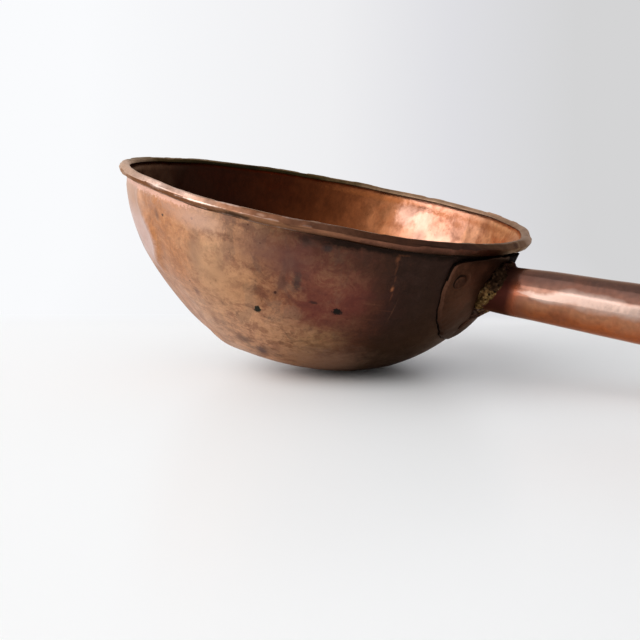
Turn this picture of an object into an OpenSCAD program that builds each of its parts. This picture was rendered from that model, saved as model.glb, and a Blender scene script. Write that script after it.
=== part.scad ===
// Copper jam pan with a domed bottom, a wired rim and a hollow handle.
// The pan is drawn upright, with the middle of its bottom at the origin and its handle along +X.
// It is then rolled over its domed bottom, so that it leans towards its handle as it does on a table.

/* [Bowl] */
// Outside diameter of the bowl over its rolled rim
rim_d = 280; // [250:5:330]
// Depth of the bowl from the top of the rim to the middle of the bottom, outside
depth = 114; // [104:1:130]
// Thickness of the copper sheet of the bowl
sheet_t = 1.7; // [1.2:0.1:2.2]
// Radius of the domed bottom, outside
base_r = 215; // [190:5:260]
// Slope at which the domed bottom ends, in degrees
base_slope = 14; // [13:0.5:17]
// Radius of the bend between the bottom and the side, outside
bend_r = 75; // [50:5:95]
// Slope at which the bend ends and the side begins, in degrees
bend_slope = 36; // [30:1:40]
// Diameter of the iron wire inside the rim
rim_wire_d = 4.6; // [3:0.2:6]

/* [Handle plate] */
// Radius of the round outline of the plate
plate_r = 54; // [50:1:58]
// Drop of the middle of that outline below the middle of the rim
plate_drop = 12; // [10:1:16]
// Drop of the straight top edge of the plate below the middle of the rim
plate_top_drop = 7; // [6:0.5:9]
// Thickness of the plate
plate_t = 2; // [1.2:0.1:3]

/* [Rivets] */
// Diameter of the rivet shanks
rivet_d = 6; // [4:0.5:7]
// Diameter of the flattened outside heads
rivet_head_d = 9.5; // [8.5:0.5:11]
// Height of the flattened outside heads
rivet_head_h = 0.7; // [0.5:0.1:1.5]
// Diameter of the domed heads inside the bowl
rivet_dome_d = 11; // [9:0.5:12]
// Height of the domed heads inside the bowl
rivet_dome_h = 2.6; // [1.5:0.1:3.5]
// Distance of the middle of each rivet from the edge of the plate
rivet_edge = 12; // [9:0.5:14]
// Drop of the side rivets below the middle of the rim
side_rivet_drop = 21; // [18:1:28]

/* [Handle] */
// Length of the handle from the side of the bowl to its open mouth
handle_len = 190; // [150:5:240]
// Outside diameter of the tube at the bowl
root_d = 29.5; // [24:0.5:32]
// Outside diameter of the tube at its mouth, without the lip
mouth_d = 36; // [34:0.5:44]
// Thickness of the copper sheet of the tube
tube_t = 1.2; // [1:0.1:2]
// Drop of the handle's middle line below the middle of the rim, at the side of the bowl
handle_drop = 27; // [25:0.5:29]
// Rise of the handle away from the bowl, in degrees
handle_rise = 5; // [0:0.5:10]
// Length of the straight stretch behind the mouth
mouth_len = 30; // [20:1:50]
// Diameter of the iron wire inside the lip of the mouth
mouth_wire_d = 2.4; // [1.5:0.1:3]
// Diameter of the hanging hole through the tube
hang_hole_d = 6; // [4:0.5:8]
// Distance of the hanging hole from the mouth
hang_hole_back = 18; // [14:1:24]

/* [Brazing] */
// Width of the brass fillet on the plate, round the tube
fillet_w = 5; // [3:0.5:7]
// Height of the brass fillet along the tube
fillet_h = 7; // [4:0.5:10]
// Width of the brass seam along the tube
seam_w = 1.2; // [0.8:0.1:2]
// Turn of the seam from the lowest line of the tube, in degrees
seam_turn = 25; // [15:5:60]

/* [Stance] */
// Lean of the pan towards its handle, in degrees, with its bottom on a table
lean = 11.8; // [6:0.2:12.8]

/* [Hidden] */
// Clearances: wire in its roll, plate on bowl, shank in its hole, and brass on copper
wire_fit = 0.1;
plate_fit = 0.15;
shank_fit = 0.1;
braze_fit = 0.1;
// Clearances of the rivet heads: the inside of the wall is hollow, so the flat of a head stands off more
head_fit = 0.1;
dome_fit = 0.2;
// Steps along the large arcs and the rolls, in degrees, and steps along the taper of the handle
arc_step = 2.5;
roll_step = 15;
taper_steps = 16;
// Facets that stand for a full circle, here and on the blended braze
round_facets = 120;
fillet_facets = 32;

// The rolls: the sheet turns outwards round each wire and stops just short of itself
rim_seat_r = rim_wire_d / 2 + wire_fit;
rim_roll_r = rim_seat_r + sheet_t;
rim_centre = [rim_d / 2 - rim_roll_r, depth - rim_roll_r];
mouth_seat_r = mouth_wire_d / 2 + wire_fit;
mouth_roll_r = mouth_seat_r + tube_t;

// The bowl's outside is a chain of three arcs, each one tangent to the next
base_centre = [0, base_r];
bend_centre = base_centre + (base_r - bend_r) * towards(base_slope);
bend_end = bend_centre + bend_r * towards(bend_slope);
side_chord = rim_centre - (bend_end + rim_seat_r * towards(bend_slope));
chord_slope = atan2(side_chord[1], side_chord[0]);
side_slope = 2 * chord_slope - bend_slope;
side_r = norm(side_chord) / (2 * sin(chord_slope - bend_slope)) - rim_seat_r;
side_centre = bend_end - side_r * towards(bend_slope);

// The handle's middle line starts on the outside of the bowl, and turns this far off the wall's direction
handle_z = rim_centre[1] - handle_drop;
root_tilt = 90 + handle_rise - side_slope_at(handle_z);
// The tube is drawn this far into the bowl, and is then trimmed to the plate
root_in = root_d;
taper_len = handle_len - mouth_roll_r - mouth_len;
lip_centre = [mouth_d / 2 + mouth_seat_r, handle_len - mouth_roll_r];
// The seam stops before the lip
seam_end = handle_len - 2 * mouth_roll_r - tube_t;
// Outside of the plate, from the outside of the bowl
plate_out = plate_fit + plate_t;

// Unit direction from an arc's centre to the point where the outside has this slope
function towards(slope) = [sin(slope), -cos(slope)];

// Points along an arc between two slopes
function arc(centre, r, from, to, step = arc_step) =
    let (n = ceil(abs(to - from) / step))
    [for (i = [0:n]) centre + r * towards(from + (to - from) * i / n)];

// The order of points turned round
function backwards(points) = [for (i = [len(points) - 1:-1:0]) points[i]];

// The sheet's profile along the bottom, the bend and the side, this far outside the bowl
function bowl_face(out) = concat(
    arc(base_centre, base_r + out, 0, base_slope),
    arc(bend_centre, bend_r + out, base_slope, bend_slope),
    side_face(out)
);
function side_face(out) = arc(side_centre, side_r + out, bend_slope, side_slope);

// Where the side of the bowl has the height z: its slope, and its distance from the axis
function side_slope_at(z) = acos((side_centre[1] - z) / side_r);
function side_radius_at(z) = side_centre[0] + side_r * sin(side_slope_at(z));

// One face of a sheet that curls outwards round a wire, from this slope of the sheet to its edge
function roll(centre, r, seat_r, t, slope) =
    arc(centre, r, 180 + slope, acos((seat_r - wire_fit) / (seat_r + t)) - 90, roll_step);

// Outside radius of the tube at a distance from the bowl, swelling towards the mouth
function tube_r(s) =
    root_d / 2 + (mouth_d - root_d) / 2 * sin(90 * max(0, min(1, s / taper_len)));

// One face of the tube from inside the bowl's wall to the roll of the lip
function tube_face(out) = concat(
    [[root_d / 2 + out, -root_in]],
    [for (i = [0:taper_steps - 1]) let (s = taper_len * i / taper_steps) [tube_r(s) + out, s]],
    [[mouth_d / 2 + out, taper_len], [mouth_d / 2 + out, lip_centre[1]]]
);

// Puts the upright pan down as it stands: the dome rolls under its own centre, over the origin
module leaning() {
    translate([0, 0, base_r]) rotate([0, lean, 0]) translate([0, 0, -base_r]) children();
}

// Children stand on the outside of the bowl, with +Z along the wall's outward direction
module on_wall(turn, z) {
    slope = side_slope_at(z);
    rotate([0, 0, turn])
        translate([side_radius_at(z), 0, z])
            rotate([0, 180 - slope, 0]) children();
}

// Children run along the handle, with +Z towards its mouth and +X downwards
module along_handle() {
    translate([side_radius_at(handle_z), 0, handle_z])
        rotate([0, 90 - handle_rise, 0]) children();
}

// Everything inside a surface that lies this far outside the side of the bowl
module inside_of_side(out) {
    face = side_face(out);
    rotate_extrude($fn = round_facets)
        polygon(concat([[0, face[0][1]]], face, [[0, face[len(face) - 1][1]]]));
}

// Children at the place of each rivet, inside the edge of the plate
module at_side_rivet(side) {
    z = rim_centre[1] - side_rivet_drop;
    half_width = sqrt(pow(plate_r, 2) - pow(side_rivet_drop - plate_drop, 2));
    on_wall(side * asin((half_width - rivet_edge) / side_radius_at(z)), z) children();
}
module at_lower_rivet() {
    on_wall(0, rim_centre[1] - plate_drop - plate_r + rivet_edge) children();
}

module rivet_hole() {
    reach = sheet_t + plate_out + rivet_d;
    cylinder(d = rivet_d + 2 * shank_fit, h = 2 * reach, center = true, $fn = round_facets);
}
module rivet_holes() {
    for (side = [-1, 1]) at_side_rivet(side) rivet_hole();
    at_lower_rivet() rivet_hole();
}

// A rivet through bowl and plate: flattened head outside, domed head inside
module rivet() {
    head_z = plate_out + head_fit;
    dome_z = -sheet_t - dome_fit;
    dome_r = (rivet_dome_h + pow(rivet_dome_d / 2, 2) / rivet_dome_h) / 2;
    translate([0, 0, dome_z]) cylinder(d = rivet_d, h = head_z - dome_z, $fn = round_facets);
    translate([0, 0, head_z])
        cylinder(d1 = rivet_head_d, d2 = rivet_head_d - 2 * rivet_head_h, h = rivet_head_h, $fn = round_facets);
    intersection() {
        translate([0, 0, dome_z - rivet_dome_h + dome_r]) sphere(r = dome_r, $fn = round_facets);
        translate([0, 0, dome_z - rivet_dome_h])
            cylinder(d = rivet_dome_d, h = rivet_dome_h, $fn = round_facets);
    }
}

// The tube's wall with its rolled lip, before it is trimmed to the plate
module tube_wall() {
    rotate_extrude($fn = round_facets)
        polygon(concat(
            tube_face(0),
            roll(lip_centre, mouth_seat_r, mouth_seat_r, tube_t, 90),
            backwards(roll(lip_centre, mouth_roll_r, mouth_seat_r, tube_t, 90)),
            backwards(tube_face(-tube_t))
        ));
}

// The slot of the seam, this wide and up to this distance along the tube
module seam_slot(w, end) {
    rotate([0, 0, seam_turn])
        translate([0, -w / 2, -root_in]) cube([mouth_d, w, root_in + end]);
}

module bowl() {
    color("peru") leaning() difference() {
        rotate_extrude($fn = round_facets)
            polygon(concat(
                bowl_face(0),
                roll(rim_centre, rim_seat_r, rim_seat_r, sheet_t, side_slope),
                backwards(roll(rim_centre, rim_roll_r, rim_seat_r, sheet_t, side_slope)),
                backwards(bowl_face(-sheet_t))
            ));
        rivet_holes();
    }
}

module rim_wire() {
    color("dimgray") leaning()
        rotate_extrude($fn = round_facets) translate(rim_centre) circle(d = rim_wire_d, $fn = round_facets);
}

module handle_plate() {
    color("saddlebrown") leaning() difference() {
        intersection() {
            rotate_extrude($fn = round_facets)
                polygon(concat(side_face(plate_out), backwards(side_face(plate_fit))));
            translate([0, 0, rim_centre[1]]) rotate([90, 0, 90])
                linear_extrude(height = rim_d) intersection() {
                    translate([0, -plate_drop]) circle(r = plate_r, $fn = round_facets);
                    translate([-plate_r, -plate_drop - plate_r])
                        square([2 * plate_r, plate_r + plate_drop - plate_top_drop]);
                }
        }
        rivet_holes();
    }
}

module rivet_left() {
    color("chocolate") leaning() at_side_rivet(-1) rivet();
}

module rivet_right() {
    color("chocolate") leaning() at_side_rivet(1) rivet();
}

module rivet_lower() {
    color("chocolate") leaning() at_lower_rivet() rivet();
}

module handle_tube() {
    color("sienna") leaning() difference() {
        along_handle() difference() {
            tube_wall();
            seam_slot(seam_w + 2 * braze_fit, seam_end + braze_fit);
            translate([0, 0, handle_len - hang_hole_back]) rotate([0, 90, 0])
                cylinder(d = hang_hole_d, h = 2 * mouth_d, center = true, $fn = round_facets);
        }
        inside_of_side(plate_out + braze_fit);
    }
}

module seam_braze() {
    color("goldenrod") leaning() difference() {
        along_handle() intersection() {
            tube_wall();
            seam_slot(seam_w, seam_end);
        }
        inside_of_side(plate_out + braze_fit);
    }
}

module root_braze() {
    // The foot lies on the plate, and the top follows the tube, which leans away from the wall's direction
    foot_r = root_d / 2 + fillet_w;
    top_r = root_d / 2 / cos(root_tilt) + braze_fit;
    color("darkgoldenrod") leaning() difference() {
        on_wall(0, handle_z) hull() {
            cylinder(r = foot_r, h = plate_out, $fn = fillet_facets);
            translate([-(plate_out + fillet_h) * tan(root_tilt), 0, plate_out])
                cylinder(r = top_r, h = fillet_h, $fn = fillet_facets);
        }
        inside_of_side(plate_out + braze_fit);
        along_handle() rotate_extrude($fn = round_facets)
            polygon(concat([[0, -root_in]], tube_face(braze_fit), [[0, lip_centre[1]]]));
    }
}

module mouth_wire() {
    color("dimgray") leaning() along_handle()
        rotate_extrude($fn = round_facets) translate(lip_centre) circle(d = mouth_wire_d, $fn = round_facets);
}

bowl();
rim_wire();
handle_plate();
rivet_left();
rivet_right();
rivet_lower();
handle_tube();
seam_braze();
root_braze();
mouth_wire();
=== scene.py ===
# %% [markdown]
# A copper jam pan, raised by hand from one sheet, with its edge rolled over an iron wire and a hollow handle brazed
# to a riveted plate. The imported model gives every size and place, and this lesson dresses it: each piece gets the
# colours that fire and hands have given its metal, and the shape that the hammer left. Lengths on the pan are
# written in millimetres and become metres last. Shader distances and the stage are in metres.

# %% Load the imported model
import math

import bpy
import numpy as np
from mathutils import Matrix, Vector, noise


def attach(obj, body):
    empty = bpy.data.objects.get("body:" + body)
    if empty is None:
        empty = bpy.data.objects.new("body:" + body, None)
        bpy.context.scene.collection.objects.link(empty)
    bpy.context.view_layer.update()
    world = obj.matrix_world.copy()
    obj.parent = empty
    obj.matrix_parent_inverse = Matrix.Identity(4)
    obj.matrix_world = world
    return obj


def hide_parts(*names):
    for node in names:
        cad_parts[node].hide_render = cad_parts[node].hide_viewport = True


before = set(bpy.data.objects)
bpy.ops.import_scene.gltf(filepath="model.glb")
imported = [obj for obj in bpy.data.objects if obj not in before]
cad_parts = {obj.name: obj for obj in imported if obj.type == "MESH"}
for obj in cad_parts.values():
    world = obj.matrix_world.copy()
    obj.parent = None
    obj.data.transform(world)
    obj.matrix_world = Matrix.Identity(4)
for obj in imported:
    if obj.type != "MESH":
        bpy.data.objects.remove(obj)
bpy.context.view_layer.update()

print("nodes:", sorted(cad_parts))

# %% [markdown]
# A few small helpers serve the whole lesson. One turns a written colour into the linear numbers that a shader
# wants, one adds a node with its settings and links, one makes a mesh object out of arrays, and the last two are
# the curves that dents and borders are drawn with.

# %% Helpers
MM = 0.001
COPPER = {"orange": "b5784c", "tan": "bf9170", "brown": "a0704f", "olive": "94704f", "wine": "754536",
          "umber": "543224", "soot": "30201a", "black": "130c08"}
UP = np.array([0.0, 0.0, 1.0])


def linear(code):
    """A colour, by its name in COPPER or as sRGB hex such as b87a55, as linear red, green, blue and alpha."""
    code = COPPER.get(code, code)
    parts = [int(code[i:i + 2], 16) / 255 for i in (0, 2, 4)]
    return [c / 12.92 if c <= 0.04045 else ((c + 0.055) / 1.055) ** 2.4 for c in parts] + [1.0]


def add(tree, kind, into=(), out=0, **settings):
    """Adds one node, sets or links its inputs, and returns its output socket (or the node, with out=None).

    The kind of a shader node is written without ShaderNode. Inputs are given in order, or by name or number.
    """
    node = tree.nodes.new(kind if "Node" in kind else "ShaderNode" + kind)
    for name, value in settings.items():
        setattr(node, name, value)
    for key, value in into.items() if isinstance(into, dict) else enumerate(into):
        if isinstance(value, bpy.types.NodeSocket):
            tree.links.new(value, node.inputs[key])
        else:
            node.inputs[key].default_value = value
    return node if out is None else node.outputs[out]


def store(mesh, name, values):
    """Keeps a named number on each point of a mesh."""
    mesh.attributes.new(name, "FLOAT", "POINT").data.foreach_set("value", np.asarray(values, np.float32))


def mesh_object(name, points, faces, attributes=()):
    """A mesh object at the origin, from points in metres, with named numbers on its points."""
    mesh = bpy.data.meshes.new(name)
    mesh.from_pydata([tuple(p) for p in points], [], [tuple(f) for f in faces])
    for key, values in dict(attributes).items():
        store(mesh, key, values)
    piece = bpy.data.objects.new(name, mesh)
    bpy.context.scene.collection.objects.link(piece)
    return piece


def bell(off, reach):
    """1 in the middle and falling away smoothly on both sides, to 0.37 at the reach."""
    return np.exp(-(off / reach) ** 2)


def between(value, start, end):
    """Runs from 0 to 1 as a value goes from start to end."""
    return np.clip((value - start) / (end - start), 0, 1)


print("helpers ready")

# %% [markdown]
# The camera comes next, so that each piece can be judged from the photographed side while it is made. The pan is
# seen from just above the table, through a lens a little longer than normal, and the handle points away to the right.

# %% Camera
camera = bpy.data.objects.new("camera", bpy.data.cameras.new("camera"))
bpy.context.scene.collection.objects.link(camera)
bpy.context.scene.camera = camera
camera.data.sensor_width = 36
camera.data.lens = 56.25
camera.data.clip_start = 0.02
camera.location = (0.3348, -0.5860, 0.1197)
looks_along = Vector((-0.5222, 0.8431, -0.1285))
camera.rotation_euler = looks_along.to_track_quat("-Z", "Y").to_euler()
print("camera looks down by", round(math.degrees(math.asin(-looks_along.z)), 1), "degrees")

# %% [markdown]
# The bowl's outside is a chain of three arcs: a shallow dome, a bend and a steep side, each tangent to the next.
# Its top edge curls outwards round a wire. The same few sizes give every other piece its place, so they come first.

# %% Sizes of the pan
rim_d, depth, sheet_t = 280.0, 114.0, 1.7
base_r, base_slope, bend_r, bend_slope = 215.0, 14.0, 75.0, 36.0
wire_d, fit = 4.6, 0.1
plate_r, plate_drop, plate_t, plate_fit = 54.0, 12.0, 2.0, 0.15
side_rivet_drop, rivet_edge = 21.0, 12.0
handle_len, root_d, mouth_d, tube_t, handle_drop, handle_rise = 190.0, 29.5, 36.0, 1.2, 27.0, 5.0
mouth_len, mouth_wire_d, hole_d, hole_back = 30.0, 2.4, 6.0, 18.0
lean = math.radians(11.8)

seat_r = wire_d / 2 + fit
roll_r = seat_r + sheet_t
plate_out = plate_fit + plate_t


def towards(slope):
    """Unit direction, in distance from the axis and height, to where an arc has this slope in degrees."""
    return np.array([math.sin(math.radians(slope)), -math.cos(math.radians(slope))])


rim_centre = np.array([rim_d / 2 - roll_r, depth - roll_r])
base_centre = np.array([0.0, base_r])
bend_centre = base_centre + (base_r - bend_r) * towards(base_slope)
bend_end = bend_centre + bend_r * towards(bend_slope)
chord = rim_centre - (bend_end + seat_r * towards(bend_slope))
chord_slope = math.degrees(math.atan2(chord[1], chord[0]))
side_slope = 2 * chord_slope - bend_slope
side_r = np.hypot(*chord) / (2 * math.sin(math.radians(chord_slope - bend_slope))) - seat_r
side_centre = bend_end - side_r * towards(bend_slope)
print("side ends at a slope of", round(side_slope, 2), "degrees")

# %% [markdown]
# The pan is drawn upright and then leans towards its handle, rolling over its domed bottom as the real one does on a
# table. These functions put points on the side of the bowl and along the handle, and lean them. A turn is the angle
# round the axis from the handle, in degrees, and a drop is the depth below the middle of the rim's wire.

# %% Places on the upright pan, and the lean
WALL_R = 125.0  # mean radius of the side, for lengths round it
DEGREE = math.radians(1) * WALL_R  # millimetres of wall in a degree of turn


def side_x(z, out=0.0):
    """Distance from the axis of a face this far outside the side of the bowl, at the height z."""
    return side_centre[0] + np.sqrt((side_r + out) ** 2 - (np.asarray(z) - side_centre[1]) ** 2)


def leaned(points):
    """Points of the upright pan, in millimetres, as metres in the shared frame."""
    p = np.asarray(points, float)
    x, y, z = p[..., 0], p[..., 1], p[..., 2] - base_r
    c, s = math.cos(lean), math.sin(lean)
    return np.stack([x * c + z * s, y, z * c - x * s + base_r], -1) * MM


def turn_of(points):
    """The turn of each point."""
    return np.degrees(np.arctan2(points[:, 1], points[:, 0]))


def outward_at(turn):
    """Level directions away from the axis."""
    return np.stack([np.cos(np.radians(turn)), np.sin(np.radians(turn)), 0 * turn], -1)


def away(turn, from_turn):
    """Shortest turn between two directions, in degrees."""
    return (turn - from_turn + 180) % 360 - 180


handle_z = rim_centre[1] - handle_drop
handle_start = np.array([float(side_x(handle_z)), 0, handle_z])
rise = math.radians(handle_rise)
along_handle = np.array([math.cos(rise), 0, math.sin(rise)])
below_handle = np.array([math.sin(rise), 0, -math.cos(rise)])
across = np.array([0.0, 1.0, 0.0])
print("handle starts at", leaned(handle_start).round(4))

# %% [markdown]
# A turned shape is a profile carried round an axis. Blender has a Spin tool and a Screw modifier for it, but a small
# node group does it with a live number of columns, keeps named numbers from the profile on every point, and serves
# the bowl, the wires, the rivets and the handle alike. A grid has one row for each point of the profile: each grid
# point looks up its profile point and turns it round Z, and a merge closes the seam and the poles.

# %% Node group that turns a profile
KEPT = ("drop", "slope", "part", "bead")


def tree_with(name, sockets):
    """A Geometry Nodes tree with a geometry socket each way and these named inputs, and its input sockets."""
    tree = bpy.data.node_groups.new(name, "GeometryNodeTree")
    for label, kind in {"Geometry": "Geometry", **sockets}.items():
        tree.interface.new_socket(label, in_out="INPUT", socket_type="NodeSocket" + kind)
    tree.interface.new_socket("Geometry", in_out="OUTPUT", socket_type="NodeSocketGeometry")
    return tree, add(tree, "NodeGroupInput", out=None).outputs


def turning_group():
    """Geometry Nodes group: turns a profile in the XZ plane round Z."""
    group, given = tree_with("turn a profile", {"Columns": "Int"})
    rows = add(group, "GeometryNodeAttributeDomainSize", (given[0],))
    more = add(group, "Math", (given[1], 1.0), operation="ADD")
    shape = add(group, "GeometryNodeMeshGrid", {"Size X": 1.0, "Size Y": 1.0, "Vertices X": more, "Vertices Y": rows})
    place = add(group, "SeparateXYZ", (add(group, "GeometryNodeInputPosition"),), out=None)
    last = add(group, "Math", (rows, 1.0), operation="SUBTRACT")
    row = add(group, "Math", (place.outputs[1], 0.5), operation="ADD")
    row = add(group, "Math", (row, last), operation="MULTIPLY")
    row = add(group, "Math", (row,), operation="ROUND")
    turn = add(group, "Math", (place.outputs[0], 0.5), operation="ADD")
    turn = add(group, "Math", (turn, 2 * math.pi), operation="MULTIPLY")
    position = add(group, "GeometryNodeInputPosition")
    spot = add(group, "GeometryNodeSampleIndex", {0: given[0], "Value": position, "Index": row},
               data_type="FLOAT_VECTOR")
    for name in KEPT:
        number = add(group, "GeometryNodeInputNamedAttribute", {"Name": name}, data_type="FLOAT")
        number = add(group, "GeometryNodeSampleIndex", {0: given[0], "Value": number, "Index": row}, data_type="FLOAT")
        shape = add(group, "GeometryNodeStoreNamedAttribute", {0: shape, "Name": name, "Value": number},
                    data_type="FLOAT", domain="POINT")
    turned = add(group, "VectorRotate", {"Vector": spot, "Angle": turn}, rotation_type="Z_AXIS")
    shape = add(group, "GeometryNodeSetPosition", {0: shape, "Position": turned})
    shape = add(group, "GeometryNodeMergeByDistance", {0: shape, "Distance": 0.01 * MM})
    add(group, "NodeGroupOutput", (shape,), out=None)
    return group


turn_a_profile = turning_group()


def run_tree(piece, tree, values):
    """Runs a tree on a piece with these inputs, and keeps the result as the piece's plain mesh."""
    modifier = piece.modifiers.new(tree.name, "NODES")
    modifier.node_group = tree
    for socket in tree.interface.items_tree:
        if socket.item_type == "SOCKET" and socket.in_out == "INPUT" and socket.name in values:
            modifier[socket.identifier] = values[socket.name]
    return plain(piece, modifier)


def plain(piece, modifier):
    """Applies a modifier: the piece keeps its result as a plain mesh."""
    bpy.context.view_layer.update()
    mesh = bpy.data.meshes.new_from_object(piece.evaluated_get(bpy.context.evaluated_depsgraph_get()))
    piece.modifiers.remove(modifier)
    piece.data = mesh
    mesh.name = piece.name
    return piece


def turned_tree(parts):
    """Tree that turns a profile and gives each part of it, by number, a material of its own."""
    tree, given = tree_with("turned sheet", {"Columns": "Int", **{p: "Material" for p in parts}})
    shape = add(tree, "GeometryNodeGroup", (given[0], given["Columns"]), node_tree=turn_a_profile)
    shape = add(tree, "GeometryNodeRealizeInstances", (shape,))
    part = add(tree, "GeometryNodeInputNamedAttribute", {"Name": "part"}, data_type="FLOAT")
    for number, name in enumerate(parts):
        chosen = add(tree, "FunctionNodeCompare", (part, number - 0.5), data_type="FLOAT", operation="GREATER_THAN")
        shape = add(tree, "GeometryNodeSetMaterial", {0: shape, "Selection": chosen, "Material": given[name]})
    add(tree, "NodeGroupOutput", (shape,), out=None)
    return tree


print("group has", len(turn_a_profile.nodes), "nodes")

# %% [markdown]
# A turned mesh is smooth, and metal isn't. These helpers read a mesh back into arrays, where its points are moved
# with noise for the lumps and with scattered cells for the blows of a hammer, and then write the points back.
# Blender's sculpt brushes or a Displace modifier could do it, but arrays can be repeated and measured.

# %% Helpers for a turned mesh
OUTWARD = ("out_x", "out_y", "out_z")


def values_of(mesh, name):
    """A named number on each point of a mesh, as an array."""
    found = np.zeros(len(mesh.vertices), np.float32)
    mesh.attributes[name].data.foreach_get("value", found)
    return found.astype(float)


def points_of(piece):
    """The points of a piece, as an array in millimetres."""
    found = np.zeros(len(piece.data.vertices) * 3, np.float32)
    piece.data.vertices.foreach_get("co", found)
    return found.reshape(-1, 3).astype(float) / MM


def finish_piece(piece, points):
    """Moves the points to their last places in metres, points the faces outwards and shades them smoothly."""
    mesh = piece.data
    mesh.vertices.foreach_set("co", np.asarray(points, np.float32).ravel())
    for name in KEPT + OUTWARD:
        if name in mesh.attributes:
            mesh.attributes.remove(mesh.attributes[name])
    mesh.calc_loop_triangles()
    corners = np.zeros(len(mesh.loop_triangles) * 3, np.int32)
    mesh.loop_triangles.foreach_get("vertices", corners)
    a, b, c = np.moveaxis(np.asarray(points)[corners.reshape(-1, 3)], 1, 0)
    volume = np.einsum("ij,ij->i", a, np.cross(b, c)).sum() / 6
    if volume < 0:
        mesh.flip_normals()
    mesh.shade_smooth()
    mesh.update()
    print(piece.name, "triangles", len(mesh.loop_triangles), "metal", round(abs(volume) * 1e6, 1), "cm3")


def noise_at(points, size, shift=0.0):
    """Smooth noise between about -1 and 1 at points in millimetres, for lumps of this size."""
    return np.array([noise.noise(Vector(p) / size + Vector((shift, shift, shift))) for p in points])


def cells_at(points, size):
    """Distance to the nearest of scattered points about this far apart: the blows of a hammer."""
    return np.array([noise.voronoi(Vector(p) / size)[0][0] for p in points]) * size


print("mesh helpers ready")

# %% [markdown]
# A copper pan browns as it ages. Where hands and cloths rub it, it stays orange, where flames reach it, it goes wine
# red and black, and old polish leaves purple-grey smudges. Some zones and spots are painted light and shade instead:
# highlights and reflections of the bright room, and shade under the rim. Each zone is a place on the pan, so the
# colours are set by the turn round the axis and the drop below the rim, which Math nodes work out from Object
# coordinates.
# Image textures would carry more detail, but these zones keep their sharp edges at any size and need no file.

# %% Shader places on the upright pan
def new_material(name, surface):
    """A material whose emptied tree ends in the shader that a function makes in it."""
    material = bpy.data.materials.new(name)
    material.use_nodes = True
    tree = material.node_tree
    tree.nodes.clear()
    add(tree, "OutputMaterial", (surface(tree),), out=None)
    print(name, "has", len(tree.nodes), "nodes")
    return material


def pan_place(tree):
    """The place on the upright pan in metres: Object coordinates, with the lean taken back."""
    start = Vector((0, 0, base_r * MM))
    back = Matrix.Rotation(-lean, 3, "Y")
    coords = add(tree, "TexCoord", out="Object")
    return add(tree, "Mapping", {"Vector": coords, "Rotation": (0, -lean, 0), "Location": start - back @ start})


def turn_and_drop(place):
    """The turn in degrees and the drop in millimetres of a place."""
    tree = place.id_data
    x, y, z = add(tree, "SeparateXYZ", (place,), out=None).outputs
    turn = add(tree, "Math", (y, x), operation="ARCTAN2")
    turn = add(tree, "Math", (turn, 180 / math.pi), operation="MULTIPLY")
    drop = add(tree, "Math", (rim_centre[1] * MM, z), operation="SUBTRACT")
    return turn, add(tree, "Math", (drop, 1 / MM), operation="MULTIPLY")


def turned_from(turn, middle):
    """How far round the pan a place is from a turn, either way, in degrees."""
    tree = turn.id_data
    off = add(tree, "Math", (turn, middle), operation="SUBTRACT")
    off = add(tree, "Math", (off, 180.0, -180.0), operation="WRAP")
    return add(tree, "Math", (off,), operation="ABSOLUTE")


def far_along(place, direction):
    """How far a place lies in a direction."""
    return add(place.id_data, "VectorMath", (place, list(direction)), "Value", operation="DOT_PRODUCT")


def far_from(place, point):
    """How far a place is, in metres, from a point of the upright pan in millimetres."""
    return add(place.id_data, "VectorMath", (place, list(point * MM)), "Value", operation="DISTANCE")


def ramp_of(amount, stops):
    """A colour ramp over an amount, from (place, colour) pairs."""
    node = add(amount.id_data, "ValToRGB", (amount,), out=None)
    elements = node.color_ramp.elements
    elements.remove(elements[0])
    for i, (where, code) in enumerate(stops):
        element = elements[0] if i == 0 else elements.new(where)
        element.position, element.color = where, linear(code)
    return node.outputs[0]


print("shader places ready")


# %% Shader patches and grain
def grain(place, size, detail, stretch=(1, 1, 1), rough=0.55, warp=0.0):
    """Noise on the upright pan for blotches of this size in millimetres, stretched by these shares."""
    stretched = add(place.id_data, "Mapping", {"Vector": place, "Scale": [1 / s for s in stretch]})
    return add(place.id_data, "TexNoise", {
        "Vector": stretched, "Scale": 1 / (size * MM), "Detail": detail, "Roughness": rough, "Distortion": warp})


def centred(height):
    """A noise that swings about zero."""
    return add(height.id_data, "Math", (height, 0.5), operation="SUBTRACT")


def pushed(value, height, swing):
    """A value pushed about by a noise, so that the border that it draws wanders by this much."""
    return add(height.id_data, "Math", (height, swing, value), operation="MULTIPLY_ADD")


def fade(value, start, end, most=1.0, least=0.0):
    """Runs from least to most, numbers or other fades, as a value goes from start to end."""
    return add(value.id_data, "MapRange", (value, start, end, least, most))


def laid(colour, over, amount):
    """Lays one colour over another by an amount. Each is written or comes from a node."""
    under, over = (linear(c) if isinstance(c, str) else c for c in (colour, over))
    return add(amount.id_data, "Mix", {0: amount, 6: under, 7: over}, out=2, data_type="RGBA")


def tinted(colour, *tints):
    """Lays colours over a colour: (value, start, end, colour, most) each, as the value goes from start to end."""
    for value, start, end, code, most in tints:
        colour = laid(colour, code, fade(value, start, end, most))
    return colour


def toned(colour, *tones):
    """Makes a colour darker or lighter: (noise, share at its low end, share at its high end) each."""
    for height, low, high in tones:
        share = fade(height, 0.3, 0.7, high, low)
        colour = add(height.id_data, "VectorMath", {0: colour, "Scale": share}, operation="SCALE")
    return colour


def zones(turn, table, noises):
    """A colour that changes round the pan: (turn, colour) pairs, whose borders wander with (noise, degrees) pairs."""
    for height, swing in noises:
        turn = pushed(turn, centred(height), swing)
    turn = add(turn.id_data, "Math", (turn, 180.0, -180.0), operation="WRAP")
    return ramp_of(fade(turn, -180.0, 180.0), [((t + 180) / 360, code) for t, code in table])


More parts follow.
